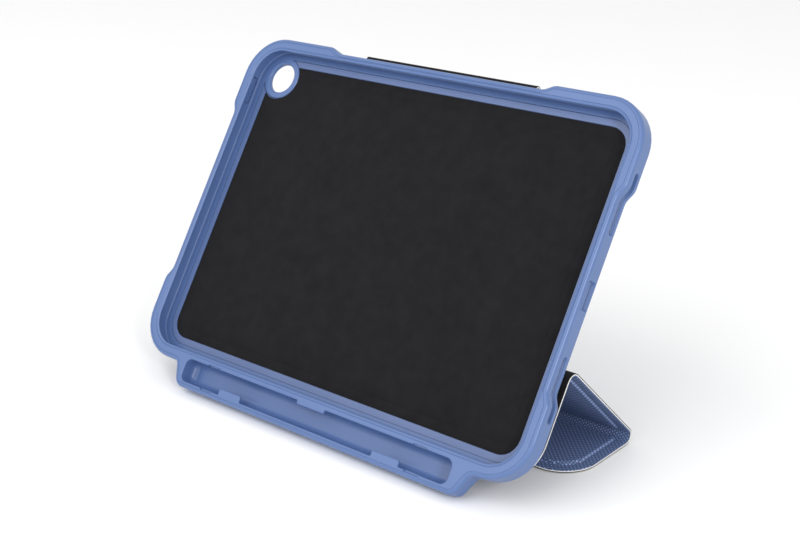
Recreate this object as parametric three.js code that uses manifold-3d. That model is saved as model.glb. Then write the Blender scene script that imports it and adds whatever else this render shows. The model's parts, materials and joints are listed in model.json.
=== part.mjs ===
// Folio case for a 10.9 inch tablet, standing on its own folded cover.
// A soft bumper grips the tablet's edge and carries a pen trough. The cover leaves the back
// of the trough as three hinged strips and folds behind the case as a triangular stand.
//
// Millimetres. +X is to the right seen from the front, +Y is to the back, +Z is up.
// The case is drawn upright in a frame of its own and then leant back:
// there +x is to the right, +y is up the screen, +z is towards the user, z = 0 is the glass.

import * as THREE from "three";
import { mergeVertices } from "three/addons/utils/BufferGeometryUtils.js";
import Module from "manifold-3d";

const wasm = await Module();
wasm.setup();

// ---------------------------------------------------------------- driving dimensions

// the tablet that the case is made for
const TABLET_LENGTH = 248.6;
const TABLET_WIDTH = 179.5;
const TABLET_THICKNESS = 7.0;
const TABLET_CORNER = 18;

// fits
const TABLET_CLEARANCE = 0.3; // round the tablet's edge and under its back
const GLUE_GAP = 0.1; // between layers that are bonded face to face
const PART_GAP = 0.3; // between pieces that meet edge to edge
const BUTTON_GAP = 0.35; // round a button cover in its window

// bumper
const WALL = 1.65;
const LIP_OVERLAP = 2.04; // how far the lip reaches over the glass
const LIP_TOP = 1.6; // height of the lip's face above the glass
const LIP_UNDERSIDE = 0.15;
const FLOOR_THICKNESS = 1.9;
const FLOOR_FLANGE = 7; // width of the bumper's inward flange, from the tablet's edge
const PLATE_LAP = 3; // how far the back plate's rim lies on that flange
const LEDGE = 0.9; // thickness left in the flange under the rim
const BULGE = 3; // how much further the corner cushions stand out
const BULGE_RAMP = 8; // length over which a cushion rises
const BULGE_LONG_START = 58.3; // from the tablet's end to the foot of the ramp, long edges
const BULGE_SHORT_START = 43.5; // the same on the short edges

// pen trough below the lower long edge
const POCKET_LENGTH = 182;
const POCKET_WIDTH = 12.4;
const POCKET_DEPTH = 9.4;
const POCKET_CORNER = 4;
const POCKET_SHIFT = 1.1; // to the right of the middle
const TROUGH_SHIFT = 2.6;
const TROUGH_ARMS = 9.4; // outer shell past each end of the pocket, at its root
const TROUGH_SLOPE = 6; // how far the ends lean in towards the bottom
const TROUGH_WALL = 3.4;
const TROUGH_FILLET = 2.5; // bottom rear edge, which the case stands on
const INNER_WALL = 1.25; // between the tablet and the pen
const MOUTH_LIP = 1.4; // thickness of the tongues over the pen
const TONGUES = [
  { at: -52.3, width: 15.5, reach: 3.4, side: "lower" },
  { at: 54.8, width: 17, reach: 3, side: "lower" },
  { at: 1.2, width: 18.5, reach: 1.9, side: "upper" },
];
const NOTCH_WIDTH = 8.5;
const NOTCH_DEPTH = 0.8;
const NOTCH_FROM_END = 20.5;

// openings in the short side on the right, measured from the tablet's middle
const PORT_LENGTH = 13.8;
const PORT_HEIGHT = 6.4;
const PORT_DEPTH_FROM_GLASS = 4.4;
const PORT_CORNER = 1.4;
const SLOT_NEAR = 30;
const SLOT_FAR = 61;
const SLOT_HEIGHT = 3.4;
const SLOT_DEPTH_FROM_GLASS = 4.7;

// rear camera
const CAMERA_RADIUS = 8.5;
const CAMERA_INSET = 15.5; // from the tablet's left and top edges
const CAMERA_RIM = 1.4;
const CAMERA_RIM_HEIGHT = 1.2;
const CAMERA_PAD = 3.6; // soft material left round the hole

// button covers: volume keys in the top wall, power key in the left wall
const BUTTON_HEIGHT = 3.2;
const BUTTON_DEPTH_FROM_GLASS = 3.9;
const VOLUME_LENGTH = 11;
const VOLUME_PITCH = 14;
const VOLUME_FROM_END = 34; // from the tablet's left end to the middle of the pair
const POWER_LENGTH = 15;
const POWER_FROM_TOP = 27;

// pads and plates in the tray
const PAD_INSET = 8; // from the tablet's edge to the edge of the soft floor pad
const PAD_CORNER = 10;
const PAD_THICKNESS = 0.55;
const KEEPER_LENGTH = 160;
const KEEPER_WIDTH = 12;
const KEEPER_THICKNESS = 0.7;

// cover material
const SKIN = 0.8;
const BOARD = 1.2;
const LINING = 0.5;
const HEM = 6; // skin past the board's edge
const COVER_OVERHANG_SIDE = 3.3; // cover past the tablet at each end
const COVER_REACH = 5.4; // cover longer than the tablet is wide
const COVER_CORNER = 20;
const BACK_PANEL_INSET = 3.3; // from the tablet's edge
const BACK_PANEL_CORNER = 15;

// spine strips between the back panel and the first panel
const SPINE_LENGTH = 176;
const SPINE_ROOT = 4.25; // root crease below the tablet's edge
const SPINE_TO_PANEL = 13.4; // from the last spine crease to the wide part of the cover
const SPINE_HALF_CREASE = 1.5;

// stand
const LEAN = 57.14; // degrees between the case and the table
const PANEL_3_LENGTH = 52.6;
const PANEL_3_END_GAP = 1.6; // from its free edge to the spine's root crease
const STAND_GAP = 1.0; // between the last panel's lining and the back panel
const BOTTOM_FOLD = { half: 3.6, lift: 1.62 }; // crease between panels 1 and 2
const TOP_FOLD = { half: 3.2, lift: 1.5 }; // crease between panels 2 and 3

// closing tab at the top
const TAB_WIDTH = 112;
const TAB_SKIN = 0.7;
const TAB_RISE = 4.55; // hairpin's straight part above the tablet's edge
const TAB_FOLD_RADIUS = 1.55;
const TAB_STRAP_LENGTH = 13;
const TAB_FLAP_LENGTH = 30;
const TAB_CORNER = 7;
const TAB_HALF_CREASE = 1.6;
const TAB_FLAP_CORE = 1.4;

// magnets
const STAND_MAGNET_RADIUS = 6;
const STAND_MAGNET_THICKNESS = 1.0;
const STAND_MAGNET_PITCH = 60;
const STAND_MAGNET_FROM_EDGE = 23.3; // from the free edge of panel 3
const WAKE_MAGNET = { length: 14, width: 5, from_end: 30, from_crease: 20 };
const TAB_MAGNET = { length: 30, width: 12, pitch: 56, thickness: 1.0 };

// ---------------------------------------------------------------- sizes worked out from them

const HALF_LENGTH = TABLET_LENGTH / 2;
const HALF_WIDTH = TABLET_WIDTH / 2;
const WALL_OUTSIDE = TABLET_CLEARANCE + WALL;
const FLOOR = -(TABLET_THICKNESS + TABLET_CLEARANCE);
const BACK = FLOOR - FLOOR_THICKNESS;
const BACK_SKIN_FRONT = BACK - GLUE_GAP;
const BACK_SKIN_BACK = BACK_SKIN_FRONT - SKIN;
const COVER_HALF_LENGTH = HALF_LENGTH + COVER_OVERHANG_SIDE;
const THIN = LINING + GLUE_GAP + SKIN; // cover without a board
const THICK = THIN + BOARD + GLUE_GAP; // cover with a board
const TROUGH_ROOT = -(HALF_WIDTH + TABLET_CLEARANCE + INNER_WALL / 2);
const POCKET_TOP = -(HALF_WIDTH + TABLET_CLEARANCE + INNER_WALL);
const POCKET_BOTTOM = POCKET_TOP - POCKET_WIDTH;
const TROUGH_BOTTOM = POCKET_BOTTOM - TROUGH_WALL;

// ---------------------------------------------------------------- shapes

/** A closed geometry as a solid that can be joined and cut. */
function solidOf(geometry) {
  const bare = geometry.clone();
  bare.deleteAttribute("normal");
  bare.deleteAttribute("uv");
  const merged = mergeVertices(bare, 1e-4);
  return new wasm.Manifold(
    new wasm.Mesh({
      numProp: 3,
      vertProperties: merged.attributes.position.array,
      triVerts: new Uint32Array(merged.index.array),
    }),
  );
}

/** A solid as a geometry with flat faces. */
function geometryOf(solid) {
  const mesh = solid.getMesh();
  const geometry = new THREE.BufferGeometry();
  geometry.setAttribute("position", new THREE.BufferAttribute(mesh.vertProperties, 3));
  geometry.setIndex(new THREE.BufferAttribute(mesh.triVerts, 1));
  const flat = geometry.toNonIndexed();
  flat.computeVertexNormals();
  return flat;
}

/** An outline with straight sides and round corners, each corner given as [x, y, radius]. */
function outline(corners, Kind = THREE.Shape) {
  const path = new Kind();
  const count = corners.length;
  corners.forEach(([x, y, radius], i) => {
    const here = new THREE.Vector2(x, y);
    const before = new THREE.Vector2(...corners[(i + count - 1) % count]).sub(here).normalize();
    const after = new THREE.Vector2(...corners[(i + 1) % count]).sub(here).normalize();
    const half = Math.acos(THREE.MathUtils.clamp(before.dot(after), -1, 1)) / 2;
    const back = radius / Math.tan(half);
    const start = here.clone().addScaledVector(before, back);
    const end = here.clone().addScaledVector(after, back);
    if (i === 0) path.moveTo(start.x, start.y);
    else path.lineTo(start.x, start.y);
    if (radius > 0) {
      const middle = before.clone().add(after).normalize();
      const centre = here.clone().addScaledVector(middle, radius / Math.sin(half));
      const from = Math.atan2(start.y - centre.y, start.x - centre.x);
      const to = Math.atan2(end.y - centre.y, end.x - centre.x);
      const clockwise = before.cross(after) > 0;
      path.absarc(centre.x, centre.y, radius, from, to, clockwise);
    }
  });
  path.closePath();
  return path;
}

/** A rectangle with round corners about (cx, cy). */
function roundedRectangle(width, height, radius, cx = 0, cy = 0) {
  const x = width / 2;
  const y = height / 2;
  return outline([
    [cx - x, cy - y, radius],
    [cx + x, cy - y, radius],
    [cx + x, cy + y, radius],
    [cx - x, cy + y, radius],
  ]);
}

/** The shape raised from z = low to z = high. */
function slab(shape, low, high, curveSegments = 3) {
  const depth = high - low;
  const geometry = new THREE.ExtrudeGeometry(shape, { depth, bevelEnabled: false, curveSegments });
  geometry.translate(0, 0, low);
  return solidOf(geometry);
}

/** The same, raised along x: the shape's x becomes y and its y becomes z. */
function bar(shape, low, high, curveSegments = 3) {
  const depth = high - low;
  const geometry = new THREE.ExtrudeGeometry(shape, { depth, bevelEnabled: false, curveSegments });
  geometry.translate(0, 0, low);
  geometry.applyMatrix4(new THREE.Matrix4().set(0, 0, 1, 0, 1, 0, 0, 0, 0, 1, 0, 0, 0, 0, 0, 1));
  return solidOf(geometry);
}

/** An upright box between two corners. */
function block([x0, y0, z0], [x1, y1, z1]) {
  const geometry = new THREE.BoxGeometry(x1 - x0, y1 - y0, z1 - z0);
  geometry.translate((x0 + x1) / 2, (y0 + y1) / 2, (z0 + z1) / 2);
  return solidOf(geometry);
}

/** A disc about (x, y) from z = low to z = high. */
function disc(radius, x, y, low, high, sides = 24) {
  const geometry = new THREE.CylinderGeometry(radius, radius, high - low, sides);
  geometry.rotateX(Math.PI / 2);
  geometry.translate(x, y, (low + high) / 2);
  return solidOf(geometry);
}

// ---------------------------------------------------------------- materials

const bumperSoft = new THREE.MeshStandardMaterial({ color: 0x7b90c2, roughness: 0.55 });
const plateHard = new THREE.MeshStandardMaterial({ color: 0x6f86b8, roughness: 0.45 });
const skinWoven = new THREE.MeshStandardMaterial({ color: 0x4a679c, roughness: 0.7 });
const liningSuede = new THREE.MeshStandardMaterial({ color: 0x16171a, roughness: 0.95 });
const boardGrey = new THREE.MeshStandardMaterial({ color: 0x9a9a94, roughness: 0.85 });
const magnetPlate = new THREE.MeshStandardMaterial({
  color: 0xb5b8bb,
  roughness: 0.35,
  metalness: 1,
});

/** A named mesh in a group. */
function piece(name, solid, material, group) {
  const mesh = new THREE.Mesh(geometryOf(solid), material);
  mesh.name = name;
  group.add(mesh);
  return mesh;
}

// ---------------------------------------------------------------- bumper

/** How far the cushion stands out at a distance from the tablet's end. */
function bulgeAt(fromEnd, start) {
  const t = THREE.MathUtils.clamp((start - fromEnd) / BULGE_RAMP, 0, 1);
  return BULGE * t * t * (3 - 2 * t);
}

/** Stations round the tablet's edge: a point, the outward direction and the bulge there. */
function edgeStations() {
  const cornerSteps = 7;
  const rampSteps = 4;
  const stations = [];
  const sides = [
    { angle: 0, half: HALF_WIDTH, out: HALF_LENGTH, start: BULGE_SHORT_START },
    { angle: 90, half: HALF_LENGTH, out: HALF_WIDTH, start: BULGE_LONG_START },
    { angle: 180, half: HALF_WIDTH, out: HALF_LENGTH, start: BULGE_SHORT_START },
    { angle: 270, half: HALF_LENGTH, out: HALF_WIDTH, start: BULGE_LONG_START },
  ];
  for (const side of sides) {
    const turn = THREE.MathUtils.degToRad(side.angle);
    const outward = new THREE.Vector2(Math.cos(turn), Math.sin(turn));
    const along = new THREE.Vector2(-outward.y, outward.x);
    const foot = side.half - side.start;
    const ramp = [...Array(rampSteps + 1).keys()].map((i) => foot + (BULGE_RAMP * i) / rampSteps);
    const places = [...ramp.map((s) => -s).reverse(), ...ramp];
    for (const s of places) {
      const point = outward.clone().multiplyScalar(side.out).addScaledVector(along, s);
      stations.push({ point, outward, bulge: bulgeAt(side.half - Math.abs(s), side.start) });
    }
    const centre = outward
      .clone()
      .multiplyScalar(side.out - TABLET_CORNER)
      .addScaledVector(along, side.half - TABLET_CORNER);
    for (let i = 0; i <= cornerSteps; i++) {
      const a = turn + ((Math.PI / 2) * i) / cornerSteps;
      const direction = new THREE.Vector2(Math.cos(a), Math.sin(a));
      const point = centre.clone().addScaledVector(direction, TABLET_CORNER);
      stations.push({ point, outward: direction, bulge: BULGE });
    }
  }
  return stations;
}

/** The bumper's section: [distance outside the tablet's edge, height]. */
function bumperSection(bulge) {
  const out = WALL_OUTSIDE + bulge;
  return [
    [TABLET_CLEARANCE, LIP_UNDERSIDE],
    [TABLET_CLEARANCE, FLOOR],
    [PLATE_LAP - FLOOR_FLANGE, FLOOR],
    [PLATE_LAP - FLOOR_FLANGE, BACK + LEDGE],
    [-FLOOR_FLANGE, BACK + LEDGE],
    [-FLOOR_FLANGE, BACK],
    [out - 1.6, BACK],
    [out - 0.5, BACK + 0.5],
    [out, BACK + 1.6],
    [out, LIP_TOP - 2.2],
    [out - 0.5, LIP_TOP - 0.7],
    [out - 1.6, LIP_TOP],
    [-LIP_OVERLAP + 0.5, LIP_TOP],
    [-LIP_OVERLAP, LIP_TOP - 0.5],
    [-LIP_OVERLAP, LIP_UNDERSIDE],
  ];
}

/** The section swept once round the tablet. */
function bumperRing() {
  const stations = edgeStations();
  const sections = stations.map(({ bulge }) => bumperSection(bulge));
  const ring = sections[0].length;
  const positions = [];
  stations.forEach(({ point, outward }, i) => {
    for (const [n, z] of sections[i]) {
      positions.push(point.x + outward.x * n, point.y + outward.y * n, z);
    }
  });
  const index = [];
  for (let i = 0; i < stations.length; i++) {
    const next = (i + 1) % stations.length;
    for (let j = 0; j < ring; j++) {
      const a = i * ring + j;
      const b = i * ring + ((j + 1) % ring);
      const c = next * ring + ((j + 1) % ring);
      const d = next * ring + j;
      index.push(a, c, b, a, d, c);
    }
  }
  const geometry = new THREE.BufferGeometry();
  geometry.setAttribute("position", new THREE.Float32BufferAttribute(positions, 3));
  geometry.setIndex(index);
  return solidOf(geometry);
}

/** The pen trough without its pocket: a long block whose ends lean in. */
function troughShell() {
  const half = POCKET_LENGTH / 2 + TROUGH_ARMS;
  const foot = half - TROUGH_SLOPE;
  const body = slab(
    outline([
      [TROUGH_SHIFT - half, TROUGH_ROOT, 0],
      [TROUGH_SHIFT - foot, TROUGH_BOTTOM, 6],
      [TROUGH_SHIFT + foot, TROUGH_BOTTOM, 6],
      [TROUGH_SHIFT + half, TROUGH_ROOT, 0],
    ]),
    BACK,
    LIP_TOP,
  );
  const side = outline([
    [TROUGH_BOTTOM, BACK, TROUGH_FILLET],
    [TROUGH_ROOT + 1, BACK, 0],
    [TROUGH_ROOT + 1, LIP_TOP, 0],
    [TROUGH_BOTTOM, LIP_TOP, 1.2],
  ]);
  return body.intersect(bar(side, TROUGH_SHIFT - half - 1, TROUGH_SHIFT + half + 1));
}

/** The room for the pen, with the tongues that hold it left standing over its mouth. */
function penPocket() {
  const middle = (POCKET_TOP + POCKET_BOTTOM) / 2;
  const shape = roundedRectangle(POCKET_LENGTH, POCKET_WIDTH, POCKET_CORNER, POCKET_SHIFT, middle);
  const bottom = LIP_TOP - POCKET_DEPTH;
  let pocket = slab(shape, bottom, LIP_TOP + 1);
  for (const side of [-1, 1]) {
    const x = POCKET_SHIFT + side * (POCKET_LENGTH / 2 - NOTCH_FROM_END);
    pocket = pocket.add(
      block(
        [x - NOTCH_WIDTH / 2, POCKET_BOTTOM - NOTCH_DEPTH, LIP_TOP - 3],
        [x + NOTCH_WIDTH / 2, middle, LIP_TOP + 1],
      ),
    );
  }
  for (const { at, width, reach, side } of TONGUES) {
    const edge = side === "lower" ? POCKET_BOTTOM : POCKET_TOP;
    const tip = side === "lower" ? edge + reach : edge - reach;
    const root = side === "lower" ? edge - 2 : edge + 2;
    const tongue = slab(
      outline([
        [at - width / 2, Math.min(tip, root), side === "lower" ? 0 : 1.2],
        [at + width / 2, Math.min(tip, root), side === "lower" ? 0 : 1.2],
        [at + width / 2, Math.max(tip, root), side === "lower" ? 1.2 : 0],
        [at - width / 2, Math.max(tip, root), side === "lower" ? 1.2 : 0],
      ]),
      LIP_TOP - MOUTH_LIP,
      LIP_TOP + 2,
    );
    pocket = pocket.subtract(tongue);
  }
  return pocket;
}

/** A round-ended window through a short wall: centre y, length along y, height and depth. */
function endWindow(y, length, height, depth, corner) {
  const shape = roundedRectangle(length, height, corner, y, -depth);
  return bar(shape, HALF_LENGTH, HALF_LENGTH + WALL_OUTSIDE + BULGE + 1);
}

const volumeCentres = [-1, 1].map((k) => -HALF_LENGTH + VOLUME_FROM_END + (k * VOLUME_PITCH) / 2);
const powerCentre = HALF_WIDTH - POWER_FROM_TOP;
const buttonLow = -BUTTON_DEPTH_FROM_GLASS - BUTTON_HEIGHT / 2;
const buttonHigh = -BUTTON_DEPTH_FROM_GLASS + BUTTON_HEIGHT / 2;
const cameraX = -HALF_LENGTH + CAMERA_INSET;
const cameraY = HALF_WIDTH - CAMERA_INSET;

function bumper() {
  let body = bumperRing().add(troughShell());
  body = body.add(disc(CAMERA_RADIUS + CAMERA_PAD, cameraX, cameraY, BACK, FLOOR));
  body = body.add(
    disc(CAMERA_RADIUS + CAMERA_RIM, cameraX, cameraY, BACK - CAMERA_RIM_HEIGHT, FLOOR),
  );
  body = body.subtract(
    disc(CAMERA_RADIUS, cameraX, cameraY, BACK - CAMERA_RIM_HEIGHT - 1, FLOOR + 1),
  );
  body = body.subtract(penPocket());
  const slotLength = SLOT_FAR - SLOT_NEAR;
  const slotMiddle = (SLOT_FAR + SLOT_NEAR) / 2;
  const slotCorner = SLOT_HEIGHT / 2 - 0.1;
  for (const side of [-1, 1]) {
    body = body.subtract(
      endWindow(side * slotMiddle, slotLength, SLOT_HEIGHT, SLOT_DEPTH_FROM_GLASS, slotCorner),
    );
  }
  body = body.subtract(endWindow(0, PORT_LENGTH, PORT_HEIGHT, PORT_DEPTH_FROM_GLASS, PORT_CORNER));
  const far = WALL_OUTSIDE + BULGE + 1;
  for (const x of volumeCentres) {
    const half = VOLUME_LENGTH / 2 + BUTTON_GAP;
    body = body.subtract(
      block(
        [x - half, HALF_WIDTH, buttonLow - BUTTON_GAP],
        [x + half, HALF_WIDTH + far, buttonHigh + BUTTON_GAP],
      ),
    );
  }
  const half = POWER_LENGTH / 2 + BUTTON_GAP;
  return body.subtract(
    block(
      [-HALF_LENGTH - far, powerCentre - half, buttonLow - BUTTON_GAP],
      [-HALF_LENGTH, powerCentre + half, buttonHigh + BUTTON_GAP],
    ),
  );
}

// ---------------------------------------------------------------- tray

/** A rectangle set in from the tablet's edge. */
function insetRectangle(inset, corner) {
  return roundedRectangle(TABLET_LENGTH - 2 * inset, TABLET_WIDTH - 2 * inset, corner);
}

const padRecess = FLOOR - PAD_THICKNESS - GLUE_GAP;
const lapEdge = FLOOR_FLANGE - PLATE_LAP + PART_GAP;
const magnetRowY = -(HALF_WIDTH + SPINE_ROOT - PANEL_3_END_GAP - STAND_MAGNET_FROM_EDGE);

function backPlate() {
  const rimBack = BACK + LEDGE + PART_GAP;
  const rim = slab(insetRectangle(lapEdge, TABLET_CORNER - lapEdge), rimBack, FLOOR);
  const edge = FLOOR_FLANGE + PART_GAP;
  const core = slab(insetRectangle(edge, TABLET_CORNER - edge), BACK, FLOOR);
  const recess = slab(
    insetRectangle(PAD_INSET - PART_GAP, PAD_CORNER + PART_GAP),
    padRecess,
    FLOOR + 1,
  );
  const cameraPad = CAMERA_RADIUS + CAMERA_PAD + PART_GAP;
  const camera = disc(cameraPad, cameraX, cameraY, BACK - 1, FLOOR + 1);
  const keeperRoom = slab(
    roundedRectangle(
      KEEPER_LENGTH + 2 * PART_GAP,
      KEEPER_WIDTH + 2 * PART_GAP,
      1.5,
      0,
      magnetRowY,
    ),
    BACK - 1,
    BACK + KEEPER_THICKNESS + GLUE_GAP,
  );
  return rim.add(core).subtract(recess).subtract(camera).subtract(keeperRoom);
}

function floorPad() {
  const camera = disc(
    CAMERA_RADIUS + CAMERA_PAD + 2 * PART_GAP,
    cameraX,
    cameraY,
    BACK - 1,
    FLOOR + 1,
  );
  const low = padRecess + GLUE_GAP;
  return slab(insetRectangle(PAD_INSET, PAD_CORNER), low, FLOOR).subtract(camera);
}

function keeper() {
  const shape = roundedRectangle(KEEPER_LENGTH, KEEPER_WIDTH, 1.5, 0, magnetRowY);
  return slab(shape, BACK, BACK + KEEPER_THICKNESS);
}

function backPanelSkin() {
  const x = HALF_LENGTH - BACK_PANEL_INSET;
  const top = HALF_WIDTH - BACK_PANEL_INSET;
  const bottom = -(HALF_WIDTH + SPINE_ROOT - SPINE_HALF_CREASE);
  const skin = slab(
    outline([
      [-x, bottom, BACK_PANEL_CORNER],
      [x, bottom, BACK_PANEL_CORNER],
      [x, top, BACK_PANEL_CORNER],
      [-x, top, BACK_PANEL_CORNER],
    ]),
    BACK_SKIN_BACK,
    BACK_SKIN_FRONT,
  );
  const hole = CAMERA_RADIUS + CAMERA_RIM + PART_GAP;
  return skin.subtract(disc(hole, cameraX, cameraY, BACK_SKIN_BACK - 1, BACK_SKIN_FRONT + 1));
}

function volumeCover(x) {
  const half = VOLUME_LENGTH / 2;
  const inner = HALF_WIDTH + WALL_OUTSIDE - WALL + 0.5;
  const outer = HALF_WIDTH + WALL_OUTSIDE + BULGE;
  return block([x - half, inner, buttonLow], [x + half, outer, buttonHigh]);
}

function powerCover() {
  const half = POWER_LENGTH / 2;
  const inner = -(HALF_LENGTH + WALL_OUTSIDE - WALL + 0.5);
  const outer = -(HALF_LENGTH + WALL_OUTSIDE + BULGE);
  return block([outer, powerCentre - half, buttonLow], [inner, powerCentre + half, buttonHigh]);
}

// ---------------------------------------------------------------- cover layers

// A cover segment is drawn with y running away from the crease that it hangs from, and its
// layers stacked on z: lining lowest, then board, then skin. z = 0 is the middle of the stack.

/** Heights of the layers in a stack with a board. */
function thickLayers() {
  const bottom = -THICK / 2;
  const lining = [bottom, bottom + LINING];
  const board = [lining[1] + GLUE_GAP, lining[1] + GLUE_GAP + BOARD];
  const skin = [board[1] + GLUE_GAP, THICK / 2];
  return { lining, board, skin };
}

/** Heights of the layers in a stack without a board. */
function thinLayers() {
  const lining = [-THIN / 2, -THIN / 2 + LINING];
  return { lining, skin: [lining[1] + GLUE_GAP, THIN / 2] };
}

/** A solid moved along y and z. */
function moved(solid, y, z) {
  return solid.translate([0, y, z]);
}

/** Skin, board and lining of one stiff panel, made from its outline and its board's outline. */
function panelLayers(name, shape, boardShape, magnets, group, offset) {
  const { lining, board, skin } = thickLayers();
  const low = lining[1] + GLUE_GAP;
  const room = slab(boardShape(PART_GAP), low - 1, board[1] + GLUE_GAP);
  const shell = slab(shape, low, skin[1]).subtract(room);
  let core = slab(boardShape(0), board[0], board[1]);
  const { radius, thickness, spots, bars } = magnets;
  for (const [x, y] of spots || []) {
    core = core.subtract(disc(radius + PART_GAP, x, y, board[0] - 1, board[1] + 1));
  }
  for (const [x, y, length, width] of bars || []) {
    const hole = roundedRectangle(length + 2 * PART_GAP, width + 2 * PART_GAP, 1, x, y);
    core = core.subtract(slab(hole, board[0] - 1, board[1] + 1));
  }
  piece(name + "_skin", moved(shell, 0, offset), skinWoven, group);
  piece(name + "_board", moved(core, 0, offset), boardGrey, group);
  piece(name + "_lining", moved(slab(shape, lining[0], lining[1]), 0, offset), liningSuede, group);
  const middle = (board[0] + board[1]) / 2;
  (spots || []).forEach(([x, y], i) => {
    const magnet = disc(radius, x, y, middle - thickness / 2, middle + thickness / 2);
    piece(name + "_magnet_" + (i + 1), moved(magnet, 0, offset), magnetPlate, group);
  });
  (bars || []).forEach(([x, y, length, width], i) => {
    const bare = roundedRectangle(length, width, 0.8, x, y);
    const magnet = slab(bare, middle - thickness / 2, middle + thickness / 2);
    piece(name + "_wake_magnet_" + (i + 1), moved(magnet, 0, offset), magnetPlate, group);
  });
}

/** Skin and lining of one spine strip from y = start to y = end. */
function stripLayers(name, start, end, group) {
  const { lining, skin } = thinLayers();
  const shape = roundedRectangle(SPINE_LENGTH, end - start, 1, 0, (start + end) / 2);
  piece(name + "_skin", slab(shape, skin[0], skin[1]), skinWoven, group);
  piece(name + "_lining", slab(shape, lining[0], lining[1]), liningSuede, group);
}

// ---------------------------------------------------------------- stand geometry

// Everything here is in the plane of the side view, [y, z] in millimetres, with the glass's
// centre at the origin and the case leaning back.

const lean = THREE.MathUtils.degToRad(LEAN);

/** A place on the upright case (y up the screen, z towards the user) after leaning. */
function leant(y, z) {
  return new THREE.Vector2(
    y * Math.cos(lean) - z * Math.sin(lean),
    y * Math.sin(lean) + z * Math.cos(lean),
  );
}

const filletCentre = leant(TROUGH_BOTTOM + TROUGH_FILLET, BACK + TROUGH_FILLET);
const TABLE = filletCentre.y - TROUGH_FILLET;

// root crease, on the case's back just below the tablet
const spineLevel = BACK - PART_GAP - THIN / 2;
const creaseA = leant(-(HALF_WIDTH + SPINE_ROOT), spineLevel);
const wrapBottom = TROUGH_BOTTOM - PART_GAP - THIN / 2;
const spineBackLength = -(HALF_WIDTH + SPINE_ROOT) - wrapBottom;
const wrapFront = LIP_TOP + PART_GAP + THICK - THIN / 2;
const spineBottomLength = wrapFront - spineLevel;
const spineHeight = TABLE + THIN / 2;
const spineBackSlope = -Math.asin((creaseA.y - spineHeight) / spineBackLength);
const creaseB = new THREE.Vector2(
  creaseA.x + spineBackLength * Math.cos(spineBackSlope),
  spineHeight,
);
const creaseC = new THREE.Vector2(creaseB.x + spineBottomLength, spineHeight);

// top fold: panel 3 hangs from it along the case's back, down to just above the root crease
const panel3Level = BACK_SKIN_BACK - STAND_GAP - THICK / 2;
const topFoldUp =
  -(HALF_WIDTH + SPINE_ROOT) + PANEL_3_END_GAP + PANEL_3_LENGTH + TOP_FOLD.half;
const creaseT = leant(topFoldUp, panel3Level - TOP_FOLD.lift);

// bottom fold: the cover's length that is left is shared so that the triangle closes
const coverLength = TABLET_WIDTH + COVER_REACH;
const lengthLeft = SPINE_TO_PANEL + coverLength - PANEL_3_LENGTH - TOP_FOLD.half;
const bottomFoldHeight = TABLE + THICK / 2 + BOTTOM_FOLD.lift;
const rise = creaseT.y - bottomFoldHeight;
const overlapT = creaseT.x - creaseC.x;
const square = rise * rise - (BOTTOM_FOLD.lift - TOP_FOLD.lift) ** 2;
const bottomFoldReach =
  (lengthLeft ** 2 - overlapT ** 2 - square) / (2 * (lengthLeft - overlapT));
const creaseR = new THREE.Vector2(creaseC.x + bottomFoldReach, bottomFoldHeight);
const span = creaseT.clone().sub(creaseR);
const panel2Run = Math.sqrt(span.lengthSq() - (BOTTOM_FOLD.lift - TOP_FOLD.lift) ** 2);
const panel2Tilt = Math.atan2(TOP_FOLD.lift - BOTTOM_FOLD.lift, panel2Run);
const panel2Slope = Math.atan2(span.y, span.x) - panel2Tilt;
const panel3Slope = lean + Math.PI;

// ---------------------------------------------------------------- assembly

/** A group for one body, placed at its crease and turned to its slope. */
function bodyGroup(name, parent, y, z, turn) {
  const group = new THREE.Group();
  group.name = name;
  group.position.set(0, y, z);
  group.rotation.x = turn;
  parent.add(group);
  return group;
}

const tabletCase = new THREE.Group();
const assembly = bodyGroup("assembly", tabletCase, 0, 0, 0);
const tray = bodyGroup("tray", assembly, 0, 0, lean);

piece("bumper", bumper(), bumperSoft, tray);
piece("back_plate", backPlate(), plateHard, tray);
piece("floor_pad", floorPad(), liningSuede, tray);
piece("magnet_keeper", keeper(), magnetPlate, tray);
piece("back_panel_skin", backPanelSkin(), skinWoven, tray);
piece("volume_cover_1", volumeCover(volumeCentres[0]), bumperSoft, tray);
piece("volume_cover_2", volumeCover(volumeCentres[1]), bumperSoft, tray);
piece("power_cover", powerCover(), bumperSoft, tray);

// spine: back strip, bottom strip, then the first panel whose tongue is the front strip
const spineBack = bodyGroup("crease_a", assembly, creaseA.x, creaseA.y, spineBackSlope);
stripLayers("spine_back", SPINE_HALF_CREASE, spineBackLength - SPINE_HALF_CREASE, spineBack);

const spineBottom = bodyGroup("crease_b", spineBack, spineBackLength, 0, -spineBackSlope);
const stripEnd = spineBottomLength - SPINE_HALF_CREASE;
stripLayers("spine_bottom", SPINE_HALF_CREASE, stripEnd, spineBottom);

const panel1 = bodyGroup("crease_c", spineBottom, spineBottomLength, 0, 0);
const stackRise = (THICK - THIN) / 2; // the thick stack's middle above the thin one's
const panel1End = bottomFoldReach - BOTTOM_FOLD.half;

/** The first panel's outline: a narrow tongue, then the full width with round corners. */
function panel1Shape() {
  const x = COVER_HALF_LENGTH;
  const t = SPINE_LENGTH / 2;
  return outline([
    [-t, SPINE_HALF_CREASE, 1],
    [t, SPINE_HALF_CREASE, 1],
    [t, SPINE_TO_PANEL, 2],
    [x, SPINE_TO_PANEL, COVER_CORNER],
    [x, panel1End, 0.5],
    [-x, panel1End, 0.5],
    [-x, SPINE_TO_PANEL, COVER_CORNER],
    [-t, SPINE_TO_PANEL, 2],
  ]);
}

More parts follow.
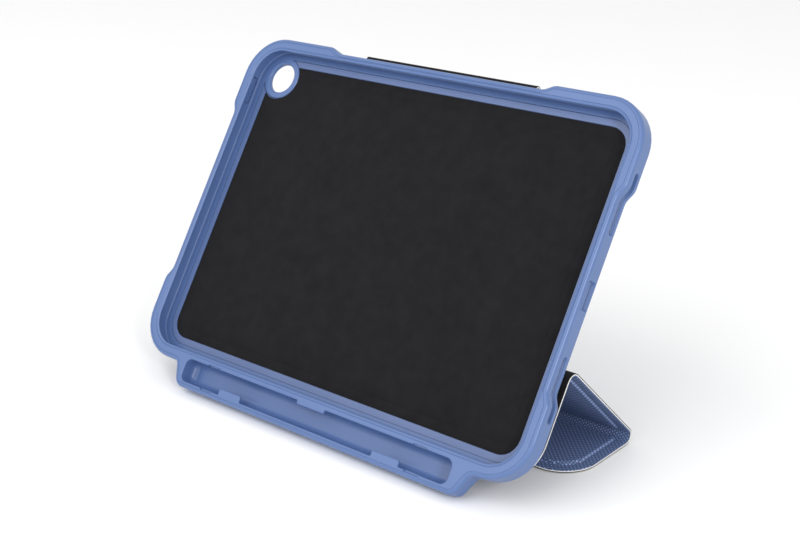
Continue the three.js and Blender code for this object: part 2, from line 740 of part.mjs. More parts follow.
/** The board inside the wide part, grown by a clearance. */
function panel1Board(grow) {
  const x = COVER_HALF_LENGTH - HEM + grow;
  const near = SPINE_TO_PANEL + HEM - grow;
  const far = panel1End - 1.5 + grow;
  return outline([
    [-x, near, COVER_CORNER - HEM],
    [x, near, COVER_CORNER - HEM],
    [x, far, 1],
    [-x, far, 1],
  ]);
}

panelLayers("panel_1", panel1Shape(), panel1Board, { thickness: 1 }, panel1, stackRise);
// the tongue has no board, so its skin lies straight on the lining
const tongueTop = -THICK / 2 + THIN;
const shoulder = block(
  [-COVER_HALF_LENGTH, 0, tongueTop],
  [COVER_HALF_LENGTH, SPINE_TO_PANEL, THICK],
).translate([0, 0, stackRise]);
const panel1Skin = panel1.getObjectByName("panel_1_skin");
panel1Skin.geometry = geometryOf(solidOf(panel1Skin.geometry).subtract(shoulder));

const panel2 = bodyGroup(
  "crease_r",
  panel1,
  bottomFoldReach,
  stackRise + BOTTOM_FOLD.lift,
  panel2Slope,
);
const panel2Start = BOTTOM_FOLD.half;
const panel2End = panel2Run - TOP_FOLD.half;

/** A plain panel between two creases, and its board. */
function straightPanel(start, end, grow, hem) {
  const x = COVER_HALF_LENGTH - hem + grow;
  const inset = hem > 0 ? 1.5 : 0;
  const near = start + inset - grow;
  const far = end - inset + grow;
  return outline([
    [-x, near, 0.5],
    [x, near, 0.5],
    [x, far, 0.5],
    [-x, far, 0.5],
  ]);
}

panelLayers(
  "panel_2",
  straightPanel(panel2Start, panel2End, 0, 0),
  (grow) => straightPanel(panel2Start, panel2End, grow, HEM),
  {
    thickness: 1,
    bars: [
      [
        COVER_HALF_LENGTH - WAKE_MAGNET.from_end,
        panel2Start + WAKE_MAGNET.from_crease,
        WAKE_MAGNET.length,
        WAKE_MAGNET.width,
      ],
    ],
  },
  panel2,
  -BOTTOM_FOLD.lift,
);

const panel3 = bodyGroup(
  "crease_t",
  panel2,
  panel2Run,
  TOP_FOLD.lift - BOTTOM_FOLD.lift,
  panel3Slope - panel2Slope,
);
const panel3Start = TOP_FOLD.half;
const panel3End = panel3Start + PANEL_3_LENGTH;

/** The last panel, with round corners at its free edge. */
function panel3Shape(grow, hem) {
  const x = COVER_HALF_LENGTH - hem + grow;
  const near = panel3Start + (hem > 0 ? 1.5 : 0) - grow;
  const far = panel3End - hem + grow;
  return outline([
    [-x, near, 0.5],
    [x, near, 0.5],
    [x, far, COVER_CORNER - hem],
    [-x, far, COVER_CORNER - hem],
  ]);
}

panelLayers(
  "panel_3",
  panel3Shape(0, 0),
  (grow) => panel3Shape(grow, HEM),
  {
    radius: STAND_MAGNET_RADIUS,
    thickness: STAND_MAGNET_THICKNESS,
    spots: [-1, 0, 1].map((k) => [k * STAND_MAGNET_PITCH, panel3End - STAND_MAGNET_FROM_EDGE]),
  },
  panel3,
  -TOP_FOLD.lift,
);

// ---------------------------------------------------------------- closing tab

// The tab leaves the back panel's top edge, turns back in a hairpin and hangs behind the case.
const tabThin = LINING + GLUE_GAP + TAB_SKIN;
const tabLevel = BACK_SKIN_FRONT - tabThin / 2;
const tabTurn = HALF_WIDTH + TAB_RISE;
const hairpinHalf = (Math.PI * TAB_FOLD_RADIUS) / 2;

/** Lining and skin of the tab's root, which stands up behind the top wall. */
function tabRoot(group) {
  const start = HALF_WIDTH - BACK_PANEL_INSET + PART_GAP;
  const middle = (start + tabTurn) / 2;
  const shape = roundedRectangle(TAB_WIDTH, tabTurn - start, 0.5, 0, middle);
  const front = tabLevel + tabThin / 2;
  piece("tab_root_lining", slab(shape, front - LINING, front), liningSuede, group);
  piece(
    "tab_root_skin",
    slab(shape, front - tabThin, front - LINING - GLUE_GAP),
    skinWoven,
    group,
  );
}
tabRoot(tray);

// strap and flap run away from their creases along +y, lining lowest, as the cover does
const strap = bodyGroup(
  "crease_tab",
  tray,
  tabTurn + hairpinHalf,
  tabLevel - TAB_FOLD_RADIUS,
  Math.PI,
);
const strapStart = hairpinHalf;
const strapEnd = strapStart + TAB_STRAP_LENGTH;
const strapShape = roundedRectangle(
  TAB_WIDTH,
  TAB_STRAP_LENGTH,
  0.5,
  0,
  (strapStart + strapEnd) / 2,
);
const strapTop = TAB_FOLD_RADIUS + tabThin / 2;
piece("tab_strap_lining", slab(strapShape, strapTop - LINING, strapTop), liningSuede, strap);
piece(
  "tab_strap_skin",
  slab(strapShape, strapTop - tabThin, strapTop - LINING - GLUE_GAP),
  skinWoven,
  strap,
);

const flap = bodyGroup("crease_flap", strap, strapEnd + TAB_HALF_CREASE, strapTop - tabThin / 2, 0);
const flapTop = tabThin / 2;
const flapLength = TAB_FLAP_LENGTH;
const flapShape = outline([
  [-TAB_WIDTH / 2, TAB_HALF_CREASE, 0.5],
  [TAB_WIDTH / 2, TAB_HALF_CREASE, 0.5],
  [TAB_WIDTH / 2, TAB_HALF_CREASE + flapLength, TAB_CORNER],
  [-TAB_WIDTH / 2, TAB_HALF_CREASE + flapLength, TAB_CORNER],
]);
const flapMiddle = TAB_HALF_CREASE + flapLength / 2;
const flapSkinTop = flapTop - LINING - GLUE_GAP;
let flapSkin = slab(flapShape, flapSkinTop - TAB_SKIN - TAB_FLAP_CORE, flapSkinTop);
for (const side of [-1, 1]) {
  const x = (side * TAB_MAGNET.pitch) / 2;
  const magnetShape = roundedRectangle(TAB_MAGNET.length, TAB_MAGNET.width, 1, x, flapMiddle);
  const room = roundedRectangle(
    TAB_MAGNET.length + 2 * PART_GAP,
    TAB_MAGNET.width + 2 * PART_GAP,
    1.3,
    x,
    flapMiddle,
  );
  flapSkin = flapSkin.subtract(slab(room, flapSkinTop - TAB_FLAP_CORE, flapSkinTop + 1));
  const magnetLow = flapSkinTop - (TAB_FLAP_CORE + TAB_MAGNET.thickness) / 2;
  const name = "tab_magnet_" + (side < 0 ? 1 : 2);
  piece(name, slab(magnetShape, magnetLow, magnetLow + TAB_MAGNET.thickness), magnetPlate, flap);
}
piece("tab_flap_skin", flapSkin, skinWoven, flap);
piece("tab_flap_lining", slab(flapShape, flapTop - LINING, flapTop), liningSuede, flap);

// ---------------------------------------------------------------- origin

// The part's origin is the middle of its bounding box's bottom face, on the table.
tabletCase.updateMatrixWorld(true);
const extent = new THREE.Box3().setFromObject(tabletCase, true);
const middle = extent.getCenter(new THREE.Vector3());
assembly.position.set(-middle.x, -middle.y, -extent.min.z);

export default tabletCase;
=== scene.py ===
# %% [markdown]
# # A rugged folio case for a tablet
# The case has a soft bumper with a pen trough, a hard plate in its floor, and a cover of coated
# cloth on stiff boards. The cover is folded behind the case as a triangular stand. We start by
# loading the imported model, which fixes where everything is and what turns about what. Every
# shape below is built in that same frame, in metres, with its place in its mesh.

import json
import math

import bmesh
import bpy
import numpy as np
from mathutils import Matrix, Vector


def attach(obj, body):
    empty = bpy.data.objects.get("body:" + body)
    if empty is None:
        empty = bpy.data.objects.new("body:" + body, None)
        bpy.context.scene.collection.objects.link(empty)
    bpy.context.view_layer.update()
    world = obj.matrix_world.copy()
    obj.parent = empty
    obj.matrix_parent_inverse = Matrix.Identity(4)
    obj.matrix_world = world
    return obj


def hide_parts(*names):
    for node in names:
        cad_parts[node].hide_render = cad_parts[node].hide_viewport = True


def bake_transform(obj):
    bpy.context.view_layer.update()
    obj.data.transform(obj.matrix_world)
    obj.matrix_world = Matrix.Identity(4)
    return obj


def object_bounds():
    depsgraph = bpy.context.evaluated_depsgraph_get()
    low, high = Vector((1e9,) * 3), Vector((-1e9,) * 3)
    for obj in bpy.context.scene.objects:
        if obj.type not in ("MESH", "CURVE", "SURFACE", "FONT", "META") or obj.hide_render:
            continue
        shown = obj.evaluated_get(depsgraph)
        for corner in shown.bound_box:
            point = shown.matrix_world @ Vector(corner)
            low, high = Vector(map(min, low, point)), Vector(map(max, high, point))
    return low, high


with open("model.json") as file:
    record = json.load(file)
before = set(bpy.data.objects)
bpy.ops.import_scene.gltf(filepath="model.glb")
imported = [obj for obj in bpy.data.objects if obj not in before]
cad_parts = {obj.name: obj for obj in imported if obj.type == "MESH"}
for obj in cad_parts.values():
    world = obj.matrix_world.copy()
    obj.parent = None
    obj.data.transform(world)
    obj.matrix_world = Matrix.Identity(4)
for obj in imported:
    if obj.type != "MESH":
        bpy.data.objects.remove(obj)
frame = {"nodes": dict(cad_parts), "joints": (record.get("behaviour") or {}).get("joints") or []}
CAD_BOX = [list(corner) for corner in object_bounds()]
JOINTS = {joint["name"]: joint for joint in frame["joints"]}

# %% [markdown]
# ## Where the case leans
# The case stands leaning back, so its own axes are turned: x to the right, y up the tablet's
# screen, z towards the user. The volume keys are pressed straight down the screen, so their
# joint's axis gives the lean. The bumper's extents along the turned axes give the origin, which
# is the middle of the tablet's glass. Sizes are in millimetres in these case axes.

# %% Case axes
MM = 0.001
HALF_LENGTH = 248.6 / 2  # the tablet that the case is made for
HALF_WIDTH = 179.5 / 2
CORNER = 18.0
WALL_OUTSIDE = 1.95  # bumper past the tablet's edge
BULGE = 3.0  # cushion past that
LIP_TOP = 1.6
FLOOR = -7.3
BACK = -9.2

press = JOINTS["volume_1_press"]["axis"]
LEAN = math.atan2(-press[2], -press[1])


def node_points(name):
    """A CAD node's vertices in the row frame, in metres."""
    return np.array([v.co for v in frame["nodes"][name].data.vertices], float)


def turned_back(points):
    """Row-frame points along the case's own axes, in millimetres, from the frame's origin."""
    y = points[:, 1] * math.cos(LEAN) + points[:, 2] * math.sin(LEAN)
    z = points[:, 2] * math.cos(LEAN) - points[:, 1] * math.sin(LEAN)
    return np.column_stack([points[:, 0], y, z]) / MM


bumper_box = turned_back(node_points("bumper"))
ORIGIN = np.array([
    (bumper_box[:, 0].max() + bumper_box[:, 0].min()) / 2,
    bumper_box[:, 1].max() - HALF_WIDTH - WALL_OUTSIDE - BULGE,
    bumper_box[:, 2].max() - LIP_TOP,
])


def placed(points):
    """Points in case axes, millimetres, as row-frame points in metres."""
    x, y, z = (np.asarray(points, float) + ORIGIN).T
    across = y * math.cos(LEAN) - z * math.sin(LEAN)
    up = y * math.sin(LEAN) + z * math.cos(LEAN)
    return np.column_stack([x, across, up]) * MM


print(f"lean {math.degrees(LEAN):.2f} degrees, glass centre at", placed([[0, 0, 0]])[0].round(4))

# %% [markdown]
# ## Turning numbers into meshes
# Most pieces here are grids or loops of points whose places follow a rule, so one function turns
# points and faces into an object. Normals are worked out once for each closed shell. Moulded
# faces are shaded smooth, and an edge stays sharp only where two faces meet at a real angle.

# %% Mesh helpers
SHARP = math.radians(38)


def ease(value):
    """0 to 1 with a soft start and end."""
    value = np.clip(value, 0, 1)
    return value * value * (3 - 2 * value)


def smooth(mesh):
    """Smooth shading with sharp edges where faces meet at more than that angle."""
    mesh.shade_smooth()
    mesh.set_sharp_from_angle(angle=SHARP)


def made_mesh(name, points, faces, cloth=None):
    """A closed object from row-frame points. cloth gives each point's place on the flat cloth."""
    mesh = bpy.data.meshes.new(name)
    mesh.from_pydata([tuple(p) for p in points], [], [tuple(f) for f in faces])
    if cloth is not None:
        layer = mesh.uv_layers.new(name="cloth")
        corners = np.zeros(len(mesh.loops), int)
        mesh.loops.foreach_get("vertex_index", corners)
        layer.data.foreach_set("uv", np.asarray(cloth, float)[corners].ravel())
    shell = bmesh.new()
    shell.from_mesh(mesh)
    bmesh.ops.recalc_face_normals(shell, faces=shell.faces)
    shell.to_mesh(mesh)
    shell.free()
    smooth(mesh)
    piece = bpy.data.objects.new(name, mesh)
    bpy.context.scene.collection.objects.link(piece)
    return piece


def baked(piece):
    """The piece with its modifiers turned into plain mesh."""
    graph = bpy.context.evaluated_depsgraph_get()
    mesh = bpy.data.meshes.new_from_object(piece.evaluated_get(graph))
    piece.modifiers.clear()
    piece.data = mesh
    return piece


def cut(piece, tool, operation="DIFFERENCE"):
    """The piece with the tool cut away or joined, and the tool removed."""
    boolean = piece.modifiers.new("cut", "BOOLEAN")
    boolean.operation = operation
    boolean.solver = "MANIFOLD"
    boolean.object = tool
    before = len(piece.data.vertices)
    baked(piece)
    bpy.data.objects.remove(tool)
    if len(piece.data.vertices) == before:
        print("   nothing changed:", operation, "on", piece.name)
    return piece


def even_light(piece):
    """Normals weighted by face size, so that broad faces look flat next to small radii."""
    smooth(piece.data)
    weighted = piece.modifiers.new("weighted normals", "WEIGHTED_NORMAL")
    weighted.keep_sharp = True
    weighted.weight = 80
    return baked(piece)


def sweep_faces(sections, points, closed):
    """Quads between the sections of a sweep, each a loop of that many points."""
    faces = []
    for i in range(sections if closed else sections - 1):
        here, there = i * points, ((i + 1) % sections) * points
        for j in range(points):
            k = (j + 1) % points
            faces.append((here + j, there + j, there + k, here + k))
    return faces


def lofted(name, layers):
    """A closed solid through loops of points in case axes, with a flat cap at each end."""
    count = len(layers[0])
    last = (len(layers) - 1) * count
    faces = sweep_faces(len(layers), count, closed=False)
    faces.append(tuple(range(count)))
    faces.append(tuple(last + i for i in reversed(range(count))))
    return made_mesh(name, placed(np.vstack(layers)), faces)


# %% [markdown]
# ## Outlines with round corners
# A moulded part has no sharp corner in plan, so an outline is a list of corners with a radius at
# each. One function puts in the arcs and gives back evenly spaced points with the outward
# direction at each, which the sweeps and the cutters both need.

# %% Rounded outlines
ARC_STEP = math.radians(9)


def unit(vector):
    return vector / np.linalg.norm(vector)


def turned(vector, angle):
    c, s = math.cos(angle), math.sin(angle)
    return np.array([vector[0] * c - vector[1] * s, vector[0] * s + vector[1] * c])


def rounded(corners, step=1.5):
    """Points and outward normals round an outline given as [x, y, radius], anticlockwise."""
    places = [np.array(corner[:2], float) for corner in corners]
    fillets = []
    for i, (_, _, radius) in enumerate(corners):
        heading = unit(places[i] - places[i - 1])
        leaving = unit(places[(i + 1) % len(places)] - places[i])
        turn = math.atan2(heading[0] * leaving[1] - heading[1] * leaving[0], heading @ leaving)
        back = radius * math.tan(abs(turn) / 2)
        start, end = places[i] - heading * back, places[i] + leaving * back
        fillets.append((start, end, turn, heading, leaving))
    points, normals = [], []
    for i, (start, end, turn, heading, leaving) in enumerate(fillets):
        right = np.array([heading[1], -heading[0]])
        bend = math.copysign(corners[i][2], turn)
        steps = max(1, round(abs(turn) / ARC_STEP))
        for k in range(steps + 1):
            normal = turned(right, turn * k / steps)
            points.append(start - bend * right + bend * normal)
            normals.append(normal)
        following = fillets[(i + 1) % len(fillets)][0]
        spans = max(1, round(np.linalg.norm(following - end) / step))
        for k in range(1, spans):
            points.append(end + (following - end) * k / spans)
            normals.append(np.array([leaving[1], -leaving[0]]))
    return np.array(points), np.array(normals)


def box_outline(half_x, half_y, radius, at=(0, 0), step=1.5):
    """A rectangle with round corners, as points and outward normals."""
    ways = [(-1, -1), (1, -1), (1, 1), (-1, 1)]
    return rounded([[at[0] + a * half_x, at[1] + b * half_y, radius] for a, b in ways], step)


def at_height(outline, z):
    """Plan points at one height, in case axes."""
    return np.column_stack([outline, np.full(len(outline), z)])


def mouth(radius, steps=4):
    """Depth and growth of a hole whose rim is rounded over, from just outside to that depth."""
    rows = [(-1.5, radius + 0.01), (0.005, radius)]
    for k in range(1, steps + 1):
        depth = radius * k / steps
        rows.append((depth, radius - math.sqrt(radius**2 - (radius - depth) ** 2)))
    return rows


print("a rounded box has", len(box_outline(10, 5, 2)[0]), "points")

# %% [markdown]
# ## The bumper
# The bumper is one moulding of soft plastic: a wall round the tablet with a lip over the glass, a
# flange under it, four corner cushions that stand out, and the pen trough below. It could be cut
# from a block, but the rounded rim has to follow the outline everywhere. So it is swept along two
# rails at once: the inner part of the section follows the tablet's edge, the outer part follows
# the cushions and the trough. Two fine grooves, one on each rail, run together along the thin
# wall and part at the cushions.

# %% Rails
CUSHION_CORNER = CORNER + WALL_OUTSIDE + BULGE
RIGHT_FACE = HALF_LENGTH + WALL_OUTSIDE + BULGE
TOP_FACE = HALF_WIDTH + WALL_OUTSIDE + BULGE
LONG_FOOT, SHORT_FOOT = 66.0, 46.25  # where the cushions start, from the middle of each edge
RAMP, RAMP_EASE, RAMP_RADIUS = 8.0, 1.2, 7.0
TROUGH_BOTTOM = -107.1
TROUGH_ROOTS, TROUGH_FEET = (-97.4, 102.6), (-92.2, 97.3)
TROUGH_CORNER = 6.0


def cushion_outline():
    """The bumper's outer outline, cushions and trough included."""
    x1, y1 = RIGHT_FACE, TOP_FACE
    x0, y0 = x1 - BULGE, y1 - BULGE
    xs, xe = LONG_FOOT + RAMP_EASE, LONG_FOOT + RAMP - RAMP_EASE
    ys, ye = SHORT_FOOT + RAMP_EASE, SHORT_FOOT + RAMP - RAMP_EASE
    r = RAMP_RADIUS
    return rounded([
        [x0, -ys, r], [x0, ys, r], [x1, ye, r], [x1, y1, CUSHION_CORNER],
        [xe, y1, r], [xs, y0, r], [-xs, y0, r], [-xe, y1, r], [-x1, y1, CUSHION_CORNER],
        [-x1, ye, r], [-x0, ys, r], [-x0, -ys, r], [-x1, -ye, r], [-x1, -y1, CUSHION_CORNER],
        [TROUGH_ROOTS[0], -y1, 3], [TROUGH_FEET[0], TROUGH_BOTTOM, TROUGH_CORNER],
        [TROUGH_FEET[1], TROUGH_BOTTOM, TROUGH_CORNER], [TROUGH_ROOTS[1], -y1, 5],
        [x1, -y1, CUSHION_CORNER], [x1, -ye, r],
    ])


def on_tablet(point):
    """The nearest point of the tablet's edge, and the outward direction there."""
    side = np.where(point < 0, -1.0, 1.0)
    past = np.abs(point) - np.array([HALF_LENGTH - CORNER, HALF_WIDTH - CORNER])
    if past[0] > 0 and past[1] > 0:
        outward = unit(past) * side
        return point * 0 + side * (np.abs(point) - past) + outward * CORNER, outward
    if past[1] > 0:
        return np.array([point[0], side[1] * HALF_WIDTH]), np.array([0, side[1]])
    return np.array([side[0] * HALF_LENGTH, point[1]]), np.array([side[0], 0])


OUTER, OUTER_NORMALS = cushion_outline()
INNER, INNER_NORMALS = (np.array(rows) for rows in zip(*[on_tablet(p) for p in OUTER]))
print(len(OUTER), "stations round the bumper")

# %% Section
LIP_EDGE = -2.04
FACE = 1.5  # height of the broad face
RIM_RADIUS = 1.9
GROOVE = 0.17
FLANGE = -7.0
PLATE_EDGE = -4.0
REAR_RADIUS, TROUGH_REAR_RADIUS = 1.6, 2.5
TROUGH_STARTS, TROUGH_BLEND = 95.0, 8.0  # the rear radius grows over this distance


def arc_points(centre, radius, first, last, steps):
    """Points of an arc in a section, with angles in degrees."""
    angles = np.radians(np.linspace(first, last, steps + 1))
    return [(centre[0] + radius * math.cos(a), centre[1] + radius * math.sin(a)) for a in angles]


def bumper_section(rear):
    """The section as (distance from its rail, height): the inner rail's part, then the outer's."""
    lip = [(0.3, z) for z in (-5.6, -4.2, -2.8, -1.4, 0.15)]
    lip += [(LIP_EDGE + 0.15, 0.15), (LIP_EDGE, 0.3), (LIP_EDGE, 0.75), (LIP_EDGE + 0.08, 0.98)]
    lip += [(LIP_EDGE + 0.3, 1.1), (-1.0, 1.3), (-0.86, 1.3 - GROOVE), (-0.68, 1.3 - GROOVE)]
    lip += [(-0.52, 1.42), (-0.4, FACE - 0.02)]
    rim = [(-2.32, FACE), (-2.2, FACE - GROOVE), (-2.06, FACE - GROOVE), (-1.94, FACE + 0.06)]
    rim += arc_points((-RIM_RADIUS, LIP_TOP - RIM_RADIUS), RIM_RADIUS, 84, 0, 8)
    rim += [(0, z) for z in (-1.5, -2.8, -4.2, -5.6)]
    rim += arc_points((-rear, BACK + rear), rear, 0, -90, 6)
    under = [(FLANGE, BACK), (FLANGE, BACK + 0.9), (PLATE_EDGE, BACK + 0.9), (PLATE_EDGE, FLOOR)]
    under += arc_points((-0.5, FLOOR + 0.8), 0.8, -90, 0, 4)
    return lip, rim, under


def swept_bumper():
    points = []
    for outer, normal, inner, inward in zip(OUTER, OUTER_NORMALS, INNER, INNER_NORMALS):
        grown = ease((-outer[1] - TROUGH_STARTS) / TROUGH_BLEND)
        rear = REAR_RADIUS + (TROUGH_REAR_RADIUS - REAR_RADIUS) * grown
        lip, rim, under = bumper_section(rear)
        points += [(*(inner + inward * n), z) for n, z in lip]
        points += [(*(outer + normal * n), z) for n, z in rim]
        points += [(*(inner + inward * n), z) for n, z in under]
    count = len(points) // len(OUTER)
    print(count, "points in the section")
    return made_mesh("bumper_moulding", placed(points), sweep_faces(len(OUTER), count, closed=True))


bumper = swept_bumper()

# %% [markdown]
# ## Openings in the bumper
# Each opening has a small radius round its rim, as a moulding does. A bevel after the cut would
# fail on so many small faces, so each cutter is a stack of loops that flares at the surface, and
# the cut leaves the rounded rim behind. On the short side the loops follow the wall as it swings
# out to the cushion.

# %% Wall openings
RIM = 0.6
CAVITY = 0.4  # a cutter ends this far inside the tablet's edge
VOLUME_CENTRES = (-97.3, -83.3)
POWER_CENTRE = 62.75
BUTTON_Z, BUTTON_HALF_Z, BUTTON_CORNER = -3.9, 1.95, 1.3
VOLUME_HALF, POWER_HALF, BUTTON_GAP = 5.5, 7.5, 0.35
SLOT_Y = 45.5
SLOT = (-4.7, 15.5, 1.7, 1.6)  # height, half length, half height and corner radius
PORT = (-4.4, 6.9, 3.2, 1.4)
VOLUME_WINDOW = (BUTTON_Z, VOLUME_HALF + BUTTON_GAP, BUTTON_HALF_Z, BUTTON_CORNER)
POWER_WINDOW = (BUTTON_Z, POWER_HALF + BUTTON_GAP, BUTTON_HALF_Z, BUTTON_CORNER)

right_wall = OUTER[(OUTER[:, 0] > HALF_LENGTH) & (np.abs(OUTER[:, 1]) < 74)]
right_wall = right_wall[np.argsort(right_wall[:, 1])]


def right_side(along, depth):
    """The right wall's surface at that y, pushed in by a depth, as x and y."""
    return np.column_stack([np.interp(along, right_wall[:, 1], right_wall[:, 0]) - depth, along])


def plane_x(x):
    """A surface at constant x that faces outwards from the middle."""
    side = math.copysign(1, x)
    return lambda along, depth: np.column_stack([np.full(len(along), x - side * depth), along])


def plane_y(y):
    return lambda along, depth: np.column_stack([along, np.full(len(along), y - depth)])


def stacked(surface, outline, normals, rows):
    """Loops over a wall, one for each (depth, growth)."""
    layers = []
    for depth, growth in rows:
        grown = outline + normals * growth
        layers.append(np.column_stack([surface(grown[:, 0], depth), grown[:, 1]]))
    return layers


def wall_cutter(surface, inside, along, z, half_along, half_z, corner):
    """A rounded hole from a wall's surface to a plane inside it, with its rim rounded over."""
    outline, normals = box_outline(half_along, half_z, corner, at=(along, z), step=0.8)
    layers = stacked(surface, outline, normals, mouth(RIM))
    return lofted("cutter", layers + stacked(inside, outline, normals, [(0, 0)]))


top_face, left_face = plane_y(TOP_FACE), plane_x(-RIGHT_FACE)
RIGHT = (right_side, plane_x(HALF_LENGTH - CAVITY))
TOP = (top_face, plane_y(HALF_WIDTH - CAVITY))
LEFT = (left_face, plane_x(-HALF_LENGTH + CAVITY))
for wall, along, opening in [
    (RIGHT, -SLOT_Y, SLOT), (RIGHT, SLOT_Y, SLOT), (RIGHT, 0.0, PORT),
    (TOP, VOLUME_CENTRES[0], VOLUME_WINDOW), (TOP, VOLUME_CENTRES[1], VOLUME_WINDOW),
    (LEFT, POWER_CENTRE, POWER_WINDOW),
]:
    cut(bumper, wall_cutter(*wall, along, *opening))
print(len(bumper.data.polygons), "faces after the wall openings")

# %% [markdown]
# ## The pen's pocket
# The pocket is a long channel with a round bottom. Over its mouth stand three tongues that the
# pen snaps past, and beside the outer two are notches for a fingernail. The mouth's outline has
# them as corners in one list, and it reaches down to the wider channel underneath.

# %% Pocket
POCKET = {"x": 1.1, "half_x": 91.0, "top": -91.3, "bottom": -103.7, "corner": 4.0}
POCKET_FLOOR = LIP_TOP - 9.4
POCKET_RIM, CHANNEL_RADIUS = 0.55, 3.6
TONGUE_DEPTH = LIP_TOP - 1.4  # underside of the tongues
LOWER_TONGUES = [(-52.3, 15.5, 3.4), (54.8, 17.0, 3.0)]  # place, width, reach
UPPER_TONGUE = (1.2, 18.5, 1.9)
NOTCH_PLACES = (-69.4, 71.6)
NOTCH_HALF, LOWER_NOTCH, UPPER_NOTCH = 4.25, 0.8, 0.55


def steps_along(edge, features, direction):
    """Corners of a straight edge with tabs and notches, each (place, half width, shift)."""
    corners = []
    for place, half, shift in sorted(features, key=lambda f: f[0] * direction):
        first, last = place - half * direction, place + half * direction
        radius = min(0.75, abs(shift) / 2)
        corners += [[first, edge, radius], [first, edge + shift, radius]]
        corners += [[last, edge + shift, radius], [last, edge, radius]]
    return corners


def pocket_mouth():
    lower = [(x, width / 2, reach) for x, width, reach in LOWER_TONGUES]
    lower += [(x, NOTCH_HALF, -LOWER_NOTCH) for x in NOTCH_PLACES]
    x, width, reach = UPPER_TONGUE
    upper = [(x, width / 2, -reach)] + [(x, NOTCH_HALF, UPPER_NOTCH) for x in NOTCH_PLACES]
    left, right = POCKET["x"] - POCKET["half_x"], POCKET["x"] + POCKET["half_x"]
    r = POCKET["corner"]
    return rounded(
        [[left, POCKET["bottom"], r]]
        + steps_along(POCKET["bottom"], lower, 1)
        + [[right, POCKET["bottom"], r], [right, POCKET["top"], r]]
        + steps_along(POCKET["top"], upper, -1)
        + [[left, POCKET["top"], r]]
    )


def pocket_cutters():
    """The mouth with its rounded rim, and the channel with a round bottom."""
    outline, normals = pocket_mouth()
    layers = [at_height(outline + normals * g, FACE - d) for d, g in mouth(POCKET_RIM)]
    layers.append(at_height(outline, TONGUE_DEPTH - 0.1))
    opening = lofted("cutter", layers)
    centre = POCKET["x"], (POCKET["top"] + POCKET["bottom"]) / 2
    half_y = (POCKET["top"] - POCKET["bottom"]) / 2
    outline, normals = box_outline(POCKET["half_x"], half_y, POCKET["corner"], centre)
    layers = [at_height(outline, TONGUE_DEPTH)]
    for k in range(7):
        a = math.radians(15 * k)
        inwards, above = CHANNEL_RADIUS * (1 - math.cos(a)), CHANNEL_RADIUS * (1 - math.sin(a))
        layers.append(at_height(outline - normals * inwards, POCKET_FLOOR + above))
    return opening, lofted("cutter", layers)


for tool in pocket_cutters():
    cut(bumper, tool)
print(len(bumper.data.polygons), "faces with the pocket")

# %% [markdown]
# ## The camera window
# The rear camera looks through a hole in a round pad of the bumper. The pad joins the flange and
# stands through the cover's skin as a low rim, so that the skin's cut edge is hidden.

# %% Camera window
CAMERA_X, CAMERA_Y = -HALF_LENGTH + 15.5, HALF_WIDTH - 15.5
CAMERA_HOLE, CAMERA_RIM, CAMERA_PAD = 8.5, 9.9, 12.1
SKIN_HOLE, PAD_HOLE = 10.2, 12.7


def circle(radius, z, sides=72):
    a = np.linspace(0, 2 * math.pi, sides, endpoint=False)
    return np.column_stack([
        CAMERA_X + radius * np.cos(a), CAMERA_Y + radius * np.sin(a), np.full(sides, z),
    ])


pad = lofted("pad", [circle(*row) for row in [
    (CAMERA_PAD - 0.35, FLOOR), (CAMERA_PAD, FLOOR - 0.35), (CAMERA_PAD, BACK + 0.02),
    (CAMERA_RIM + 0.15, BACK), (CAMERA_RIM, BACK - 0.15), (CAMERA_RIM, BACK - 0.8),
    (CAMERA_RIM - 0.15, BACK - 1.1), (CAMERA_RIM - 0.45, BACK - 1.2),
]])
cut(bumper, pad, "UNION")
cut(bumper, lofted("hole", [circle(*row) for row in [
    (CAMERA_HOLE + 1.6, FLOOR + 0.6), (CAMERA_HOLE + 0.7, FLOOR - 0.02),
    (CAMERA_HOLE + 0.25, FLOOR - 0.25), (CAMERA_HOLE, FLOOR - 0.7), (CAMERA_HOLE, BACK - 0.6),
    (CAMERA_HOLE + 0.2, BACK - 0.95), (CAMERA_HOLE + 0.65, BACK - 1.19),
    (CAMERA_HOLE + 1.2, BACK - 1.7),
]]))
even_light(bumper)
print(len(bumper.data.polygons), "faces in the finished bumper")

# %% [markdown]
# ## Key covers
# The tablet's keys are pressed through loose covers in the bumper's windows. Each is a pillow
# with a low bar on it that a finger can find. It is a stack of loops whose size shrinks towards
# the outside, so the shoulders come out round.

# %% Key covers
def key_cover(name, surface, along, half_along):
    """A pillow with a raised bar, from inside the wall out to just under its surface."""
    at = (along, BUTTON_Z)
    outline = box_outline(half_along, BUTTON_HALF_Z - BUTTON_GAP, 1.0, at, step=0.8)
    inner = WALL_OUTSIDE + BULGE - 0.8
    rows = [(inner, 0), (1.0, 0), (0.62, -0.05), (0.42, -0.2), (0.34, -0.42), (0.3, -0.8)]
    cover = lofted(name, stacked(surface, *outline, rows))
    outline = box_outline(half_along * 0.55, 0.32, 0.3, at, step=0.8)
    rows = [(0.5, 0.1), (0.26, 0.1), (0.14, 0.04), (0.1, -0.06)]
    return even_light(cut(cover, lofted("bar", stacked(surface, *outline, rows)), "UNION"))


key_covers = {
    "volume_1": key_cover("volume_key_1", top_face, VOLUME_CENTRES[0], VOLUME_HALF),
    "volume_2": key_cover("volume_key_2", top_face, VOLUME_CENTRES[1], VOLUME_HALF),
    "power": key_cover("power_key", left_face, POWER_CENTRE, POWER_HALF),
}
print(len(key_covers), "key covers")

